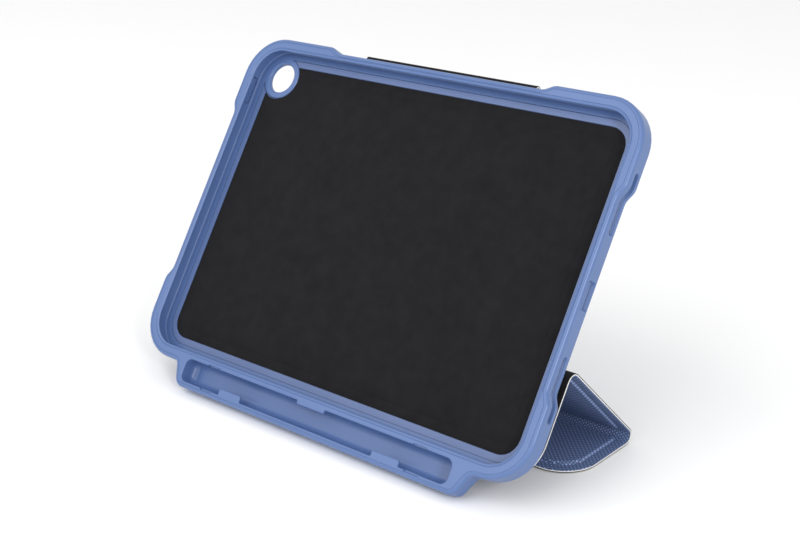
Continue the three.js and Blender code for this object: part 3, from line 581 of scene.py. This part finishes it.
# %% [markdown]
# ## The cover, flat
# The cover is one laminate: a black microfibre lining, a pale core that shows only at the cut
# edge, stiff boards, and a coated woven skin. It is easiest to draw while it lies flat. So every
# piece of it starts in cloth space, in millimetres: x across, s along the cover, h up from the
# lining's outer face. A path then says where each s goes, and wrapping the flat piece round the
# path puts it in place. The flat x and s also serve as the UV map, so the weave runs on without
# a break from panel to fold to panel.

# %% Paths
def strip_frame(node, crease, skin_side):
    """Where a flat strip lies: its crease, its direction, the way to its skin, and its ends."""
    points = node_points(node)[:, 1:] / MM
    origin = np.array(JOINTS[crease]["pos_m"][1:]) / MM
    centre = points.mean(0)
    axis = np.linalg.svd(points - centre, full_matrices=False)[2][0]
    axis = axis * np.sign((centre - origin) @ axis)
    normal = skin_side * np.array([-axis[1], axis[0]])
    along, across = (points - origin) @ axis, (points - origin) @ normal
    return strip_at(origin + normal * across.min(), axis, normal, along.min(), along.max())


def strip_at(origin, axis, normal, start, end):
    return {"origin": origin, "axis": axis, "normal": normal, "start": start, "end": end}


def straight_path(strip):
    """s, place and skin direction at both ends of a flat strip."""
    s = np.array([strip["start"] - 1, strip["end"] + 1])
    return s, strip["origin"] + np.outer(s, strip["axis"]), np.array([strip["normal"]] * 2)


def fold_path(first, second, samples=48):
    """A smooth bend of the lining's outer face from one strip's end to the next one's start."""
    start = first["origin"] + first["axis"] * first["end"]
    end = second["origin"] + second["axis"] * second["start"]
    turn = math.acos(np.clip(first["axis"] @ second["axis"], -1, 1))
    chord = np.linalg.norm(end - start)
    handle = chord / 3
    if turn > 0.01:
        handle = 4 / 3 * math.tan(turn / 4) * chord / (2 * math.sin(turn / 2))
    t = np.linspace(0, 1, samples)[:, None]
    ends = [start, start + first["axis"] * handle, end - second["axis"] * handle, end]
    weights = [(1 - t) ** 3, 3 * t * (1 - t) ** 2, 3 * t * t * (1 - t), t**3]
    places = sum(w * p for w, p in zip(weights, ends))
    heading = np.gradient(places, axis=0)
    heading /= np.linalg.norm(heading, axis=1)[:, None]
    heading[0], heading[-1] = first["axis"], second["axis"]
    side = np.sign(first["axis"][0] * first["normal"][1] - first["axis"][1] * first["normal"][0])
    normals = side * np.column_stack([-heading[:, 1], heading[:, 0]])
    s = np.concatenate([[0], np.cumsum(np.linalg.norm(np.diff(places, axis=0), axis=1))])
    return s, places, normals


def wrapped(flat, path):
    """Cloth-space points (x, s, h) as row-frame points in metres."""
    s, places, normals = path
    x, along, height = np.asarray(flat, float).T
    y = np.interp(along, s, places[:, 0]) + height * np.interp(along, s, normals[:, 0])
    z = np.interp(along, s, places[:, 1]) + height * np.interp(along, s, normals[:, 1])
    return np.column_stack([x, y, z]) * MM


up = np.array([math.cos(LEAN), math.sin(LEAN)])
backward = np.array([math.sin(LEAN), -math.cos(LEAN)])
BACK_SKIN = BACK - 0.1
on_back = placed([[0, 0, BACK_SKIN]])[0, 1:] / MM
BACK_BOTTOM = 92.5
STRIPS = {
    "back": strip_at(on_back, -up, backward, -(HALF_WIDTH - 3.3), BACK_BOTTOM),
    "tab_root": strip_at(on_back, up, backward, HALF_WIDTH - 3.0, HALF_WIDTH + 4.55),
}
for name, crease, skin_side in [
    ("spine_back", "spine_root_crease", 1), ("spine_bottom", "spine_bottom_crease", 1),
    ("panel_1", "spine_front_crease", 1), ("panel_2", "bottom_fold", 1),
    ("panel_3", "top_fold", 1), ("tab_strap", "tab_hairpin", -1), ("tab_flap", "tab_crease", -1),
]:
    STRIPS[name] = strip_frame(name + "_lining", crease, skin_side)
for name, strip in STRIPS.items():
    print(f"{name:13s} from {strip['start']:7.2f} to {strip['end']:7.2f} mm")

# %% Flat slabs
COVER_HALF, COVER_CORNER = 127.6, 20.0
LINING_TOP, CORE_TOP = 0.45, 0.87
THIN, THICK, BOARD_TOP = 1.4, 2.7, 1.9
HEM = 6.0  # from the cover's edge to the board's
CREASE_HEM = 1.5
EMBOSS = 0.75  # half the width of the step over a board's edge
LINE_DEPTH, LINE_AT, LINE_WIDTH = 0.14, 0.95, 0.35  # fine line outside that step
PRESS_DEPTH, PRESS_WIDTH = 0.13, 0.55  # line on the lining


def columns(half):
    """Places across half a row, close together where the relief is."""
    edge = np.concatenate([
        [0, 0.25, 0.6], np.arange(1.2, 4.4, 0.8), np.arange(4.4, 8, 0.3), np.arange(8, 30, 1.4),
        np.arange(30, half, 6),
    ])
    edge = edge[edge < half - 1]
    return np.concatenate([-(half - edge), [0], (half - edge)[::-1]]) / half


def slab(name, path, s, half, low, high, offset=0.0):
    """A closed slab in cloth space, wrapped round a path. low and high are heights over (x, s)."""
    s = np.asarray(s, float)
    halves = np.array([half(v) for v in s])
    t = columns(halves.max())
    x = halves[:, None] * t
    along = np.repeat(s[:, None], len(t), axis=1)
    top = np.stack([x, along, high(x, along)], -1).reshape(-1, 3)
    bottom = np.stack([x, along, low(x, along)], -1).reshape(-1, 3)
    rows, count = x.shape
    number = np.arange(rows * count).reshape(rows, count)
    quads = np.stack([number[:-1, :-1], number[:-1, 1:], number[1:, 1:], number[1:, :-1]], -1)
    quads = quads.reshape(-1, 4)
    faces = [*quads, *(quads[:, ::-1] + rows * count)]
    rim = np.concatenate([number[0, :-1], number[:-1, -1], number[-1, :0:-1], number[:0:-1, 0]])
    below = rows * count
    for here, there in zip(rim, np.roll(rim, -1)):
        faces.append((there, here, here + below, there + below))
    flat = np.vstack([top, bottom])
    cloth = np.column_stack([flat[:, 0], flat[:, 1] + offset]) * MM
    return made_mesh(name, wrapped(flat, path), [tuple(map(int, f)) for f in faces], cloth)


def inside_box(x, s, half, start, end, start_corner, end_corner):
    """Distance in from the edge of a board with round corners, negative outside it."""
    corner = np.where(s < (start + end) / 2, start_corner, end_corner)
    middle, reach = (start + end) / 2, (end - start) / 2
    qx = np.abs(x) - half + corner
    qs = np.abs(s - middle) - reach + corner
    outside = np.hypot(np.maximum(qx, 0), np.maximum(qs, 0))
    return corner - outside - np.minimum(np.maximum(qx, qs), 0)


def side_rows(start, end, start_corner=0.0, end_corner=0.0):
    """Rows along a piece: close near a crease, and by equal angles round a corner."""
    turn = np.radians(np.arange(0, 91, 2))
    first = start + np.linspace(0, 4, 14)
    if start_corner:
        first = start + start_corner * (1 - np.sin(turn[::-1]))
    last = end - np.linspace(4, 0, 14)
    if end_corner:
        last = end - end_corner * (1 - np.sin(turn))
    middle = np.linspace(first[-1], last[0], max(3, round((last[0] - first[-1]) / 1.6)))
    return np.concatenate([first, middle[1:-1], last])


def corner_half(half, start, end, start_corner, end_corner):
    """Half width at s of a piece with round corners at its free ends."""
    def at(s):
        into = [(start_corner, s - start), (end_corner, end - s)]
        lost = [r - math.sqrt(max(r * r - (r - d) ** 2, 0)) for r, d in into if d < r]
        return half - max(lost, default=0)
    return at


print("columns across the cover:", len(columns(COVER_HALF)))

# %% [markdown]
# ## Panels
# A stiff panel's skin is pressed over its board, so the board's outline shows as a soft step in
# from the edge, with a fine line at its foot. On the lining side only a shallow line shows. The
# step is real relief: it has to catch the light along the hem from every side.

# %% Panel layers
def level(height):
    return lambda x, along: np.full_like(x, height)


def laminate(name, path, s, half, skin, lining_low, offset):
    """Skin and lining of one strip. skin is the heights of the skin's lower and upper faces."""
    return (
        slab(name + "_cloth", path, s, half, *skin, offset),
        slab(name + "_microfibre", path, s, half, lining_low, level(LINING_TOP), offset),
    )


def plain(name, path, s, half, thin=THIN, offset=0.0):
    """A strip without a board."""
    return laminate(name, path, s, half, (level(CORE_TOP), level(thin)), level(0.0), offset)


def panel(name, path, s, half, board, thin, offset):
    """A strip over a board, given as (half, start, end, start corner, end corner)."""
    def step(inside):
        return ease(inside / (2 * EMBOSS) + 0.5)

    def skin_low(x, along):
        return CORE_TOP + (BOARD_TOP - CORE_TOP) * step(inside_box(x, along, *board))

    def skin_high(x, along):
        inside = inside_box(x, along, *board)
        line = LINE_DEPTH * np.exp(-(((inside + LINE_AT) / LINE_WIDTH) ** 2))
        return thin + (THICK - thin) * step(inside) - line

    def lining_low(x, along):
        return PRESS_DEPTH * np.exp(-((inside_box(x, along, *board) / PRESS_WIDTH) ** 2))

    return laminate(name, path, s, half, (skin_low, skin_high), lining_low, offset)


SPINE_HALF = 88.0
FREE_CORNER = 22.0  # the two corners at the cover's free end
TAB_HALF, TAB_CORNER, TAB_THIN = 56.0, 7.0, 1.3
TAB_HEM = 3.0
SHOULDER = 13.4  # where panel 1 widens from the spine's width
FOLD_CORNER = 1.0  # of a board, at a crease
NO_END = 1e3  # an end with no round corner is as if it were far away
cover = {}  # body, or pair of bodies: its skin and its lining
edges = []  # (body or pair, path, chain of (x, s))


def trim(owner, path, rows, half, round_end=False):
    """Notes a strip's cut edges: one along each side, or one right round its free end."""
    left, right = ([(side * half(s), s) for s in rows] for side in (-1, 1))
    chains = [right + left[::-1]] if round_end else [left, right]
    edges.extend((owner, path, chain) for chain in chains)


def add_panel(name, rows, half, board, thin=THIN, offset=0.0, round_end=False):
    path = straight_path(STRIPS[name])
    cover[name] = panel(name, path, rows, half, board, thin, offset)
    trim(name, path, rows, half, round_end)


def add_from_crease(name, width, hem=HEM, corner=0.0, thin=THIN, offset=0.0):
    """A panel from one crease to the next, or to the free end, where it has round corners."""
    start, end = STRIPS[name]["start"], STRIPS[name]["end"]
    half = corner_half(width, -NO_END, end, 0, corner)
    board_end, board_corner = end - CREASE_HEM, FOLD_CORNER
    if corner:
        board_end, board_corner = end - hem, corner - hem
    board = (width - hem, start + CREASE_HEM, board_end, FOLD_CORNER, board_corner)
    add_panel(name, side_rows(start, end, 0, corner), half, board, thin, offset, corner > 0)


def add_plain(name, owner, width, thin=THIN):
    strip = STRIPS[name]
    rows = np.linspace(strip["start"], strip["end"], 9)
    path = straight_path(strip)
    cover[name] = plain(name, path, rows, lambda s: width, thin)
    trim(owner, path, rows, lambda s: width)


def narrow_to_wide(wide, change, blend_in):
    """Half widths of a piece that is as narrow as the spine on one side of a place along it."""
    at_change = wide(change)

    def at(s):
        beyond = (s - change) * blend_in
        if beyond >= 0:
            return wide(s)
        return SPINE_HALF + (at_change - SPINE_HALF) * max(0, 1 + beyond) ** 3
    return at


strip = STRIPS["panel_1"]
rows = np.concatenate([
    np.linspace(strip["start"], SHOULDER - 1.2, 8), SHOULDER - np.array([0.9, 0.6, 0.4, 0.2, 0.1]),
    side_rows(SHOULDER, strip["end"], start_corner=COVER_CORNER),
])
half = narrow_to_wide(corner_half(COVER_HALF, SHOULDER, NO_END, COVER_CORNER, 0), SHOULDER, 1)
end = strip["end"] - CREASE_HEM
board = (COVER_HALF - HEM, SHOULDER + HEM, end, COVER_CORNER - HEM, FOLD_CORNER)
add_panel("panel_1", rows, half, board)
run = strip["end"]  # length of cover so far, for the weave
add_from_crease("panel_2", COVER_HALF, offset=run)
run += STRIPS["panel_2"]["end"]
add_from_crease("panel_3", COVER_HALF, corner=FREE_CORNER, offset=run)
print("panels made, cover length", round(run + STRIPS["panel_3"]["end"], 1), "mm")

# %% Spine and tab strips
for name in ("spine_back", "spine_bottom"):
    add_plain(name, name, SPINE_HALF)
for name, owner in (("tab_root", "tray"), ("tab_strap", "tab_strap")):
    add_plain(name, owner, TAB_HALF, TAB_THIN)
add_from_crease("tab_flap", TAB_HALF, TAB_HEM, TAB_CORNER, TAB_THIN)
print(len(cover), "flat strips of cover and tab")

# %% [markdown]
# ## Folds
# Between two panels the laminate has no board and bends in one smooth curve. Each fold is a piece
# of its own that belongs to both neighbours.

# %% Folds
FOLDS = [  # name, the strips on either side, half width, thickness
    ("root_fold", "back", "spine_back", SPINE_HALF, THIN),
    ("spine_fold", "spine_back", "spine_bottom", SPINE_HALF, THIN),
    ("front_fold", "spine_bottom", "panel_1", SPINE_HALF, THIN),
    ("table_fold", "panel_1", "panel_2", COVER_HALF, THIN),
    ("apex_fold", "panel_2", "panel_3", COVER_HALF, THIN),
    ("tab_hairpin", "tab_root", "tab_strap", TAB_HALF, TAB_THIN),
    ("tab_fold", "tab_strap", "tab_flap", TAB_HALF, TAB_THIN),
]
ON_TRAY = ("back", "tab_root")  # strips glued to the tray
blends = {}  # pair of bodies: where the bend starts and ends
for name, first, second, width, thin in FOLDS:
    bodies = ("tray" if first in ON_TRAY else first, second)
    path = fold_path(STRIPS[first], STRIPS[second])
    rows = np.linspace(0, path[0][-1], 25)
    offset = STRIPS[first]["end"]
    cover[bodies] = plain(name, path, rows, lambda s: width, thin, offset)
    trim(bodies, path, rows, lambda s: width)
    blends[bodies] = wrapped([[0, 0, 0], [0, path[0][-1], 0]], path)
    print(f"{name:12s} {path[0][-1]:5.2f} mm long")

# %% [markdown]
# ## Back skin and floor pad
# The cloth on the back is glued flat to the plate with its edge left thin, and it thickens at
# the bottom, where the lining joins it and the cover begins. Inside, a microfibre pad with a
# pressed line keeps the tablet off the hard plate.

# %% Back skin
strip = STRIPS["back"]
BACK_HALF = HALF_LENGTH - 3.3
BACK_CORNER = 15.0
FIELD_END = HALF_WIDTH - 3.3
BACK_THIN, BACK_STEP = 0.45, 0.4
JOIN_LENGTH, JOIN_SIDE = 7.0, 5.0  # over which the skin thickens towards the spine
BOARD_CORNER = BACK_CORNER - HEM
board = (BACK_HALF - HEM, strip["start"] + HEM, FIELD_END - HEM, BOARD_CORNER, BOARD_CORNER)


def back_high(x, along):
    """Thin at the edge, a step up to the field, and full thickness where the cover leaves."""
    step = ease(inside_box(x, along, *board) / (2 * EMBOSS) + 0.5)
    join = ease((along - FIELD_END + 2) / JOIN_LENGTH)
    join = join * ease((SPINE_HALF + JOIN_SIDE - np.abs(x)) / JOIN_SIDE)
    height = BACK_THIN + BACK_STEP * step
    return height + (THIN - height) * join


field_half = corner_half(BACK_HALF, strip["start"], FIELD_END, BACK_CORNER, BACK_CORNER)
back_half = narrow_to_wide(field_half, FIELD_END, -1)  # round field, then a strip to the spine
rows = np.concatenate([
    side_rows(strip["start"], FIELD_END, BACK_CORNER, BACK_CORNER),
    FIELD_END + np.array([0.1, 0.2, 0.4, 0.6, 0.9]), np.linspace(FIELD_END + 1.3, BACK_BOTTOM, 6),
])
back_skin = slab("back_cloth", straight_path(strip), rows, back_half, level(0.0), back_high)
cut(back_skin, lofted("hole", [circle(SKIN_HOLE, BACK + 1), circle(SKIN_HOLE, BACK - 3)]))
smooth(back_skin.data)

PAD_INSET, PAD_CORNER = 8.0, 10.0
outline, normals = box_outline(HALF_LENGTH - PAD_INSET, HALF_WIDTH - PAD_INSET, PAD_CORNER)
pad_layers = [
    at_height(outline - normals * inset, FLOOR - depth)
    for inset, depth in [
        (0, 0.55), (0, 0.12), (0.12, 0.03), (0.35, 0), (4.4, 0), (4.7, 0.1), (5.0, 0.14),
        (5.3, 0.1), (5.6, 0), (8, 0),
    ]
]
floor_pad = lofted("floor_pad_microfibre", pad_layers)
cut(floor_pad, lofted("hole", [circle(PAD_HOLE, FLOOR + 1), circle(PAD_HOLE, FLOOR - 2)]))
smooth(floor_pad.data)
print("back skin", len(back_skin.data.polygons), "faces, pad", len(floor_pad.data.polygons))

# %% [markdown]
# ## Cut edges
# Where the laminate is cut, its pale core shows as a fine line between lining and skin. It
# follows every outline, so it is grown along them: each outline is a chain of points, and
# Geometry Nodes sweep a bead along it.

# %% Node helper
def add(tree, kind, inputs=None, **settings):
    """A node with its settings, and its sockets set to values or linked to other sockets."""
    node = tree.nodes.new(kind)
    for key, value in settings.items():
        setattr(node, key, value)
    for key, value in (inputs or {}).items():
        if isinstance(value, bpy.types.NodeSocket):
            tree.links.new(value, node.inputs[key])
        else:
            node.inputs[key].default_value = value
    return node


# %% Cut-edge bead
def bead_group():
    """Sweeps a round bead along chains of points and closes its ends."""
    tree = bpy.data.node_groups.new("cut_edge_bead", "GeometryNodeTree")
    for name, way, kind in [
        ("Chain", "INPUT", "Geometry"), ("Radius", "INPUT", "Float"),
        ("Material", "INPUT", "Material"), ("Bead", "OUTPUT", "Geometry"),
    ]:
        tree.interface.new_socket(name, in_out=way, socket_type="NodeSocket" + kind)
    given = add(tree, "NodeGroupInput").outputs
    curve = add(tree, "GeometryNodeMeshToCurve", {"Mesh": given["Chain"]})
    ring = add(tree, "GeometryNodeCurvePrimitiveCircle", {
        "Resolution": 8, "Radius": given["Radius"],
    })
    sweep = add(tree, "GeometryNodeCurveToMesh", {
        "Curve": curve.outputs["Curve"], "Profile Curve": ring.outputs["Curve"],
        "Fill Caps": True,
    })
    rounded_off = add(tree, "GeometryNodeSetShadeSmooth", {"Geometry": sweep.outputs["Mesh"]})
    real = add(tree, "GeometryNodeRealizeInstances", {
        "Geometry": rounded_off.outputs["Geometry"],
    })
    finished = add(tree, "GeometryNodeSetMaterial", {
        "Geometry": real.outputs["Geometry"], "Material": given["Material"],
    })
    add(tree, "NodeGroupOutput", {"Bead": finished.outputs["Geometry"]})
    return tree


BEAD = bead_group()
BEAD_RADIUS = 0.23
BEAD_OUT = 0.06  # how far its middle sits past the cut


def bead(name, chains, surface):
    """One plain mesh with a bead along each chain of row-frame points."""
    mesh = bpy.data.meshes.new(name)
    links, start = [], 0
    for chain in chains:
        links += [(start + i, start + i + 1) for i in range(len(chain) - 1)]
        start += len(chain)
    mesh.from_pydata([tuple(p) for chain in chains for p in chain], links, [])
    piece = bpy.data.objects.new(name, mesh)
    bpy.context.scene.collection.objects.link(piece)
    grown = piece.modifiers.new("bead", "NODES")
    grown.node_group = BEAD
    names = {item.name: item.identifier for item in BEAD.interface.items_tree}
    grown[names["Radius"]] = BEAD_RADIUS * MM
    grown[names["Material"]] = surface
    return baked(piece)


def edge_chain(path, outline):
    """The cut edge's points from (x, s), moved out a little, at the height of the core."""
    outline = np.asarray(outline, float)
    heading = np.gradient(outline, axis=0)
    heading /= np.maximum(np.linalg.norm(heading, axis=1), 1e-9)[:, None]
    away = np.column_stack([heading[:, 1], -heading[:, 0]])
    away *= np.sign(np.sum(away * outline, axis=1) + 1e-9)[:, None]
    away[[0, -1]] = np.column_stack([np.sign(outline[[0, -1], 0]), [0, 0]])
    moved = outline + away * BEAD_OUT
    keep = np.concatenate([[True], np.linalg.norm(np.diff(moved, axis=0), axis=1) > 0.05])
    moved = moved[keep]
    middle = (LINING_TOP + CORE_TOP) / 2
    return wrapped(np.column_stack([moved, np.full(len(moved), middle)]), path)


by_owner = {}
for owner, path, outline in edges:
    by_owner.setdefault(owner, []).append(edge_chain(path, outline))
print(len(edges), "cut edges on", len(by_owner), "bodies and folds")

# %% [markdown]
# ## Materials
# Each material is named for what the real thing is made of and how it was made. Colours are
# written as sRGB hex and turned into linear light by one function. Grain and weave sizes come
# from real millimetres.

# %% Colour and material helpers
def linear(code):
    """Linear RGBA from an sRGB hex colour."""
    parts = [int(code[i:i + 2], 16) / 255 for i in (1, 3, 5)]
    return (*[c / 12.92 if c <= 0.04045 else ((c + 0.055) / 1.055) ** 2.4 for c in parts], 1.0)


def new_material(name, channels, tones, stops, gloss, relief=0.0, **constants):
    """A finish from channels over the surface, for colour, gloss and perhaps relief.

    tones are the dark and the light colour and stops where the first channel reaches them. gloss
    is the least and the most roughness. relief is in millimetres. Constants such as the sheen go
    straight onto the shader's own sockets.
    """
    surface = bpy.data.materials.new(name)
    surface.use_nodes = True
    tree = surface.node_tree
    shader = tree.nodes["Principled BSDF"]
    for key, value in constants.items():
        shader.inputs[key.replace("_", " ")].default_value = value
    tone, shine, *heights = channels(tree)
    colour = add(tree, "ShaderNodeValToRGB", {"Fac": tone})
    for stop, position, code in zip(colour.color_ramp.elements, stops, tones):
        stop.position, stop.color = position, linear(code)
    roughness = add(tree, "ShaderNodeMapRange", {
        "Value": shine, "From Min": 0.3, "From Max": 0.7, "To Min": gloss[0], "To Max": gloss[1],
    })
    tree.links.new(colour.outputs["Color"], shader.inputs["Base Color"])
    tree.links.new(roughness.outputs["Result"], shader.inputs["Roughness"])
    for height in heights:
        bump = add(tree, "ShaderNodeBump", {"Height": height, "Distance": relief * MM})
        tree.links.new(bump.outputs["Normal"], shader.inputs["Normal"])
    return surface


def mottle(*channel_sizes):
    """Noise over the object for each channel: size in millimetres, detail and roughness."""
    def channels(tree):
        place = add(tree, "ShaderNodeTexCoord")
        return [
            add(tree, "ShaderNodeTexNoise", {
                "Vector": place.outputs["Object"], "Scale": 1 / (size * MM), "Detail": detail,
                "Roughness": roughness,
            }).outputs["Fac"]
            for size, detail, roughness in channel_sizes
        ]
    return channels


EVEN = (0.3, 0.7)  # stops that use most of a noise's range

# %% [markdown]
# ### Mouldings
# The bumper is thermoplastic polyurethane, moulded in a spark-eroded tool. That gives an even
# satin colour whose highlights are broad and soft. The plate in the floor is polycarbonate, a
# little darker and glossier. Both only need a slight drift in colour and gloss and a fine grain.

# %% Mouldings
# The real grain is about 0.1 mm. It is drawn at 0.6 mm, because finer would only be noise.
tpu = new_material(
    "tpu_spark_eroded_moulding", mottle((45, 2, 0.5), (12, 3, 0.5), (0.6, 3, 0.6)),
    ("#506999", "#546D9D"), EVEN,
    gloss=(0.3, 0.36), relief=0.008, IOR=1.5,
)
plate_plastic = new_material(
    "polycarbonate_moulding", mottle((45, 2, 0.5), (12, 3, 0.5), (0.8, 3, 0.6)),
    ("#50648F", "#566A96"), EVEN,
    gloss=(0.3, 0.36), relief=0.006, IOR=1.5,
)

# %% [markdown]
# ### Cloth and microfibre
# The skin is polyester in plain weave with a thin plastic coat. Yarns that lie on top catch the
# light and the gaps between them stay dark, so cells alternate like a chequerboard, each domed in
# both directions. The same domes give the relief and the colour: the light tone on the crowns is
# painted highlight and the dark tone in the gaps is painted shade. The weave follows the flat
# cloth's UV map, because it has to bend with the folds. The lining is brushed microfibre: almost
# black, matt, with a faint sheen where the nap turns away.

# %% Cloths
# The real yarns are about 0.75 mm apart. They are drawn at 1.3 mm to stay readable.
WEAVE_PITCH = 1.3
LOW_YARN = 0.5  # height of the crossing yarns, as a share of the raised ones
DOME = 0.6  # under 1 makes the domes flat on top


def weave(tree):
    """The weave's height for the relief and for the colour, which paints highlight on the crowns
    and shade in the gaps, and a slow noise for the gloss.
    """
    flat = add(tree, "ShaderNodeUVMap", uv_map="cloth")
    cells = add(tree, "ShaderNodeVectorMath", {
        0: flat.outputs["UV"], "Scale": 1 / (WEAVE_PITCH * MM),
    }, operation="SCALE")
    lifted = add(tree, "ShaderNodeVectorMath", {
        0: cells.outputs["Vector"], 1: (0, 0, 0.5),
    }, operation="ADD")
    chequer = add(tree, "ShaderNodeTexChecker", {"Vector": lifted.outputs["Vector"], "Scale": 1.0})
    axes = add(tree, "ShaderNodeSeparateXYZ", {"Vector": cells.outputs["Vector"]}).outputs
    hills = []
    for axis in (axes["X"], axes["Y"]):
        value = axis
        for operation in ("MULTIPLY", "SINE", "ABSOLUTE"):
            given = {0: value, 1: math.pi} if operation == "MULTIPLY" else {0: value}
            value = add(tree, "ShaderNodeMath", given, operation=operation).outputs["Value"]
        hills.append(value)
    both = add(tree, "ShaderNodeMath", {0: hills[0], 1: hills[1]}, operation="MULTIPLY")
    crown = add(tree, "ShaderNodeMath", {0: both.outputs["Value"], 1: DOME}, operation="POWER")
    level_of_yarn = add(tree, "ShaderNodeMath", {
        0: chequer.outputs["Fac"], 1: 1 - LOW_YARN, 2: LOW_YARN,
    }, operation="MULTIPLY_ADD")
    height = add(tree, "ShaderNodeMath", {
        0: crown.outputs["Value"], 1: level_of_yarn.outputs["Value"],
    }, operation="MULTIPLY").outputs["Value"]
    return height, mottle((9, 2, 0.5))(tree)[0], height


# The dark tone is painted shade in the weave's gaps, the light tone painted highlight on its
# crowns.
cloth = new_material(
    "coated_woven_polyester", weave, ("#26385F", "#8A9FCB"), (0.12, 0.85),
    gloss=(0.5, 0.6), relief=0.16, IOR=1.48,
)
# The real nap is finer than 0.1 mm. It is drawn at 0.7 mm so that it shows at all.
suede = new_material(
    "brushed_microfibre_suede", mottle((14, 4, 0.6), (6, 2, 0.5), (0.7, 3, 0.7)),
    ("#0E0E10", "#131316"), EVEN,
    gloss=(0.86, 0.95), relief=0.03, Sheen_Weight=0.25, Sheen_Roughness=0.5,
    Sheen_Tint=linear("#3A3A40"), Specular_IOR_Level=0.25,
)

# %% [markdown]
# ### Core, boards and steel
# The laminate's core is pressed fibre, cut dry, so its edge reads as a matt, nearly white line.
# The boards are greyboard, dull and speckled. The keeper and magnets are nickel-plated steel,
# with tight bright highlights. Boards and magnets only show if the case is opened.

# %% Core, boards and steel
cut_fibre = new_material(
    "cut_fibre_core", mottle((1.2, 4, 0.7), (4.8, 2, 0.5), (1.2, 3, 0.7)),
    ("#E2E0DA", "#F1EFEA"), EVEN, gloss=(0.8, 0.92), relief=0.03, Specular_IOR_Level=0.3,
)
greyboard = new_material(
    "pressed_greyboard", mottle((2, 4, 0.7), (8, 2, 0.5), (2, 3, 0.7)),
    ("#87827A", "#9B968C"), EVEN, gloss=(0.8, 0.92), relief=0.03, Specular_IOR_Level=0.3,
)
steel = new_material(
    "nickel_plated_steel", mottle((8, 3, 0.5), (3, 3, 0.5)),
    ("#A9ABB0", "#BDBFC4"), EVEN,
    gloss=(0.24, 0.34), Metallic=1.0,
)
print(len(bpy.data.materials), "materials")

# %% [markdown]
# ## Dress and fasten
# Every piece gets its material, and a piece of one body rides on that body. A fold, which lies
# between two bodies, has its place baked into its mesh. Pieces whose shape was already right, such
# as the hard plate, the boards and the magnets, stay and only get their material.

# %% Finish the pieces
def finish(piece, surface, slot, owner, *stands_for):
    """Material, slot (not used), owner (a body, or two bodies for a fold) and the nodes it stands
    for.
    """
    piece.data.materials.clear()
    piece.data.materials.append(surface)
    if isinstance(owner, tuple):
        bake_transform(piece)
    else:
        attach(piece, owner)
    if stands_for:
        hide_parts(*stands_for)


finish(bumper, tpu, "bumper_soft", "tray", "bumper")
for body, node in [
    ("volume_1", "volume_cover_1"), ("volume_2", "volume_cover_2"), ("power", "power_cover"),
]:
    finish(key_covers[body], tpu, "bumper_soft", body, node)
finish(back_skin, cloth, "cover_skin", "tray", "back_panel_skin")
finish(floor_pad, suede, "lining", "tray", "floor_pad")
for name, pieces in cover.items():
    owner = "tray" if name == "tab_root" else name
    for piece, surface, slot, kind in zip(
        pieces, (cloth, suede), ("cover_skin", "lining"), ("_skin", "_lining")
    ):
        finish(piece, surface, slot, owner, *([] if owner in blends else [name + kind]))
for owner, chains in by_owner.items():
    label = "_to_".join(owner) if isinstance(owner, tuple) else owner
    finish(bead(label + "_cut_edge", chains, cut_fibre), cut_fibre, None, owner)

KEPT = {"back_plate": plate_plastic}
KEPT |= {node: greyboard for node in frame["nodes"] if node.endswith("_board")}
KEPT |= {node: steel for node in frame["nodes"] if "magnet" in node}
for node, surface in KEPT.items():
    bpy.data.objects[node].data.materials.clear()
    bpy.data.objects[node].data.materials.append(surface)
print(len(KEPT), "nodes kept with better materials")

# %% [markdown]
# ## Studio
# A plain pale floor, an even white surround, one large soft light from the upper left and a
# weaker one from the right, which draws the long highlight along the right wall.

# %% Floor, light and camera
def aimed(thing, location, direction):
    thing.location = location
    thing.rotation_euler = Vector(direction).to_track_quat("-Z", "Y").to_euler()
    bpy.context.scene.collection.objects.link(thing)
    return thing


def soft_light(name, location, target, width, height, power):
    lamp = bpy.data.lights.new(name, "AREA")
    lamp.shape = "RECTANGLE"
    lamp.size, lamp.size_y, lamp.energy = width, height, power
    return aimed(bpy.data.objects.new(name, lamp), location, Vector(target) - Vector(location))


paper = bpy.data.materials.new("studio_paper")
paper.use_nodes = True
shader = paper.node_tree.nodes["Principled BSDF"]
shader.inputs["Base Color"].default_value = linear("#F4F4F4")
shader.inputs["Roughness"].default_value = 0.9
shader.inputs["Specular IOR Level"].default_value = 0.2
floor_mesh = bpy.data.meshes.new("floor")
floor_mesh.from_pydata([(-8, -8, 0), (8, -8, 0), (8, 8, 0), (-8, 8, 0)], [], [(0, 1, 2, 3)])
floor_mesh.materials.append(paper)
floor = bpy.data.objects.new("floor", floor_mesh)
floor.location = (0, 0, CAD_BOX[0][2] - 0.0005)
bpy.context.scene.collection.objects.link(floor)

world = bpy.data.worlds.new("white surround")
world.use_nodes = True
world.node_tree.nodes["Background"].inputs["Color"].default_value = linear("#FFFFFF")
world.node_tree.nodes["Background"].inputs["Strength"].default_value = 0.9
bpy.context.scene.world = world
bpy.context.scene.view_settings.view_transform = "Standard"
soft_light("key", (-0.5, -1.7, 1.7), (0, 0, 0.08), 2.4, 2.0, 26)
soft_light("edge", (1.45, -0.85, 0.8), (0.12, 0, 0.08), 0.25, 0.6, 12)

LENS, EYE, GAZE = 62.85, (0.4417, -0.5097, 0.3249), (-0.6018, 0.720, -0.345)
camera = bpy.data.objects.new("camera", bpy.data.cameras.new("camera"))
camera.data.lens = LENS
aimed(camera, EYE, GAZE)
bpy.context.scene.camera = camera
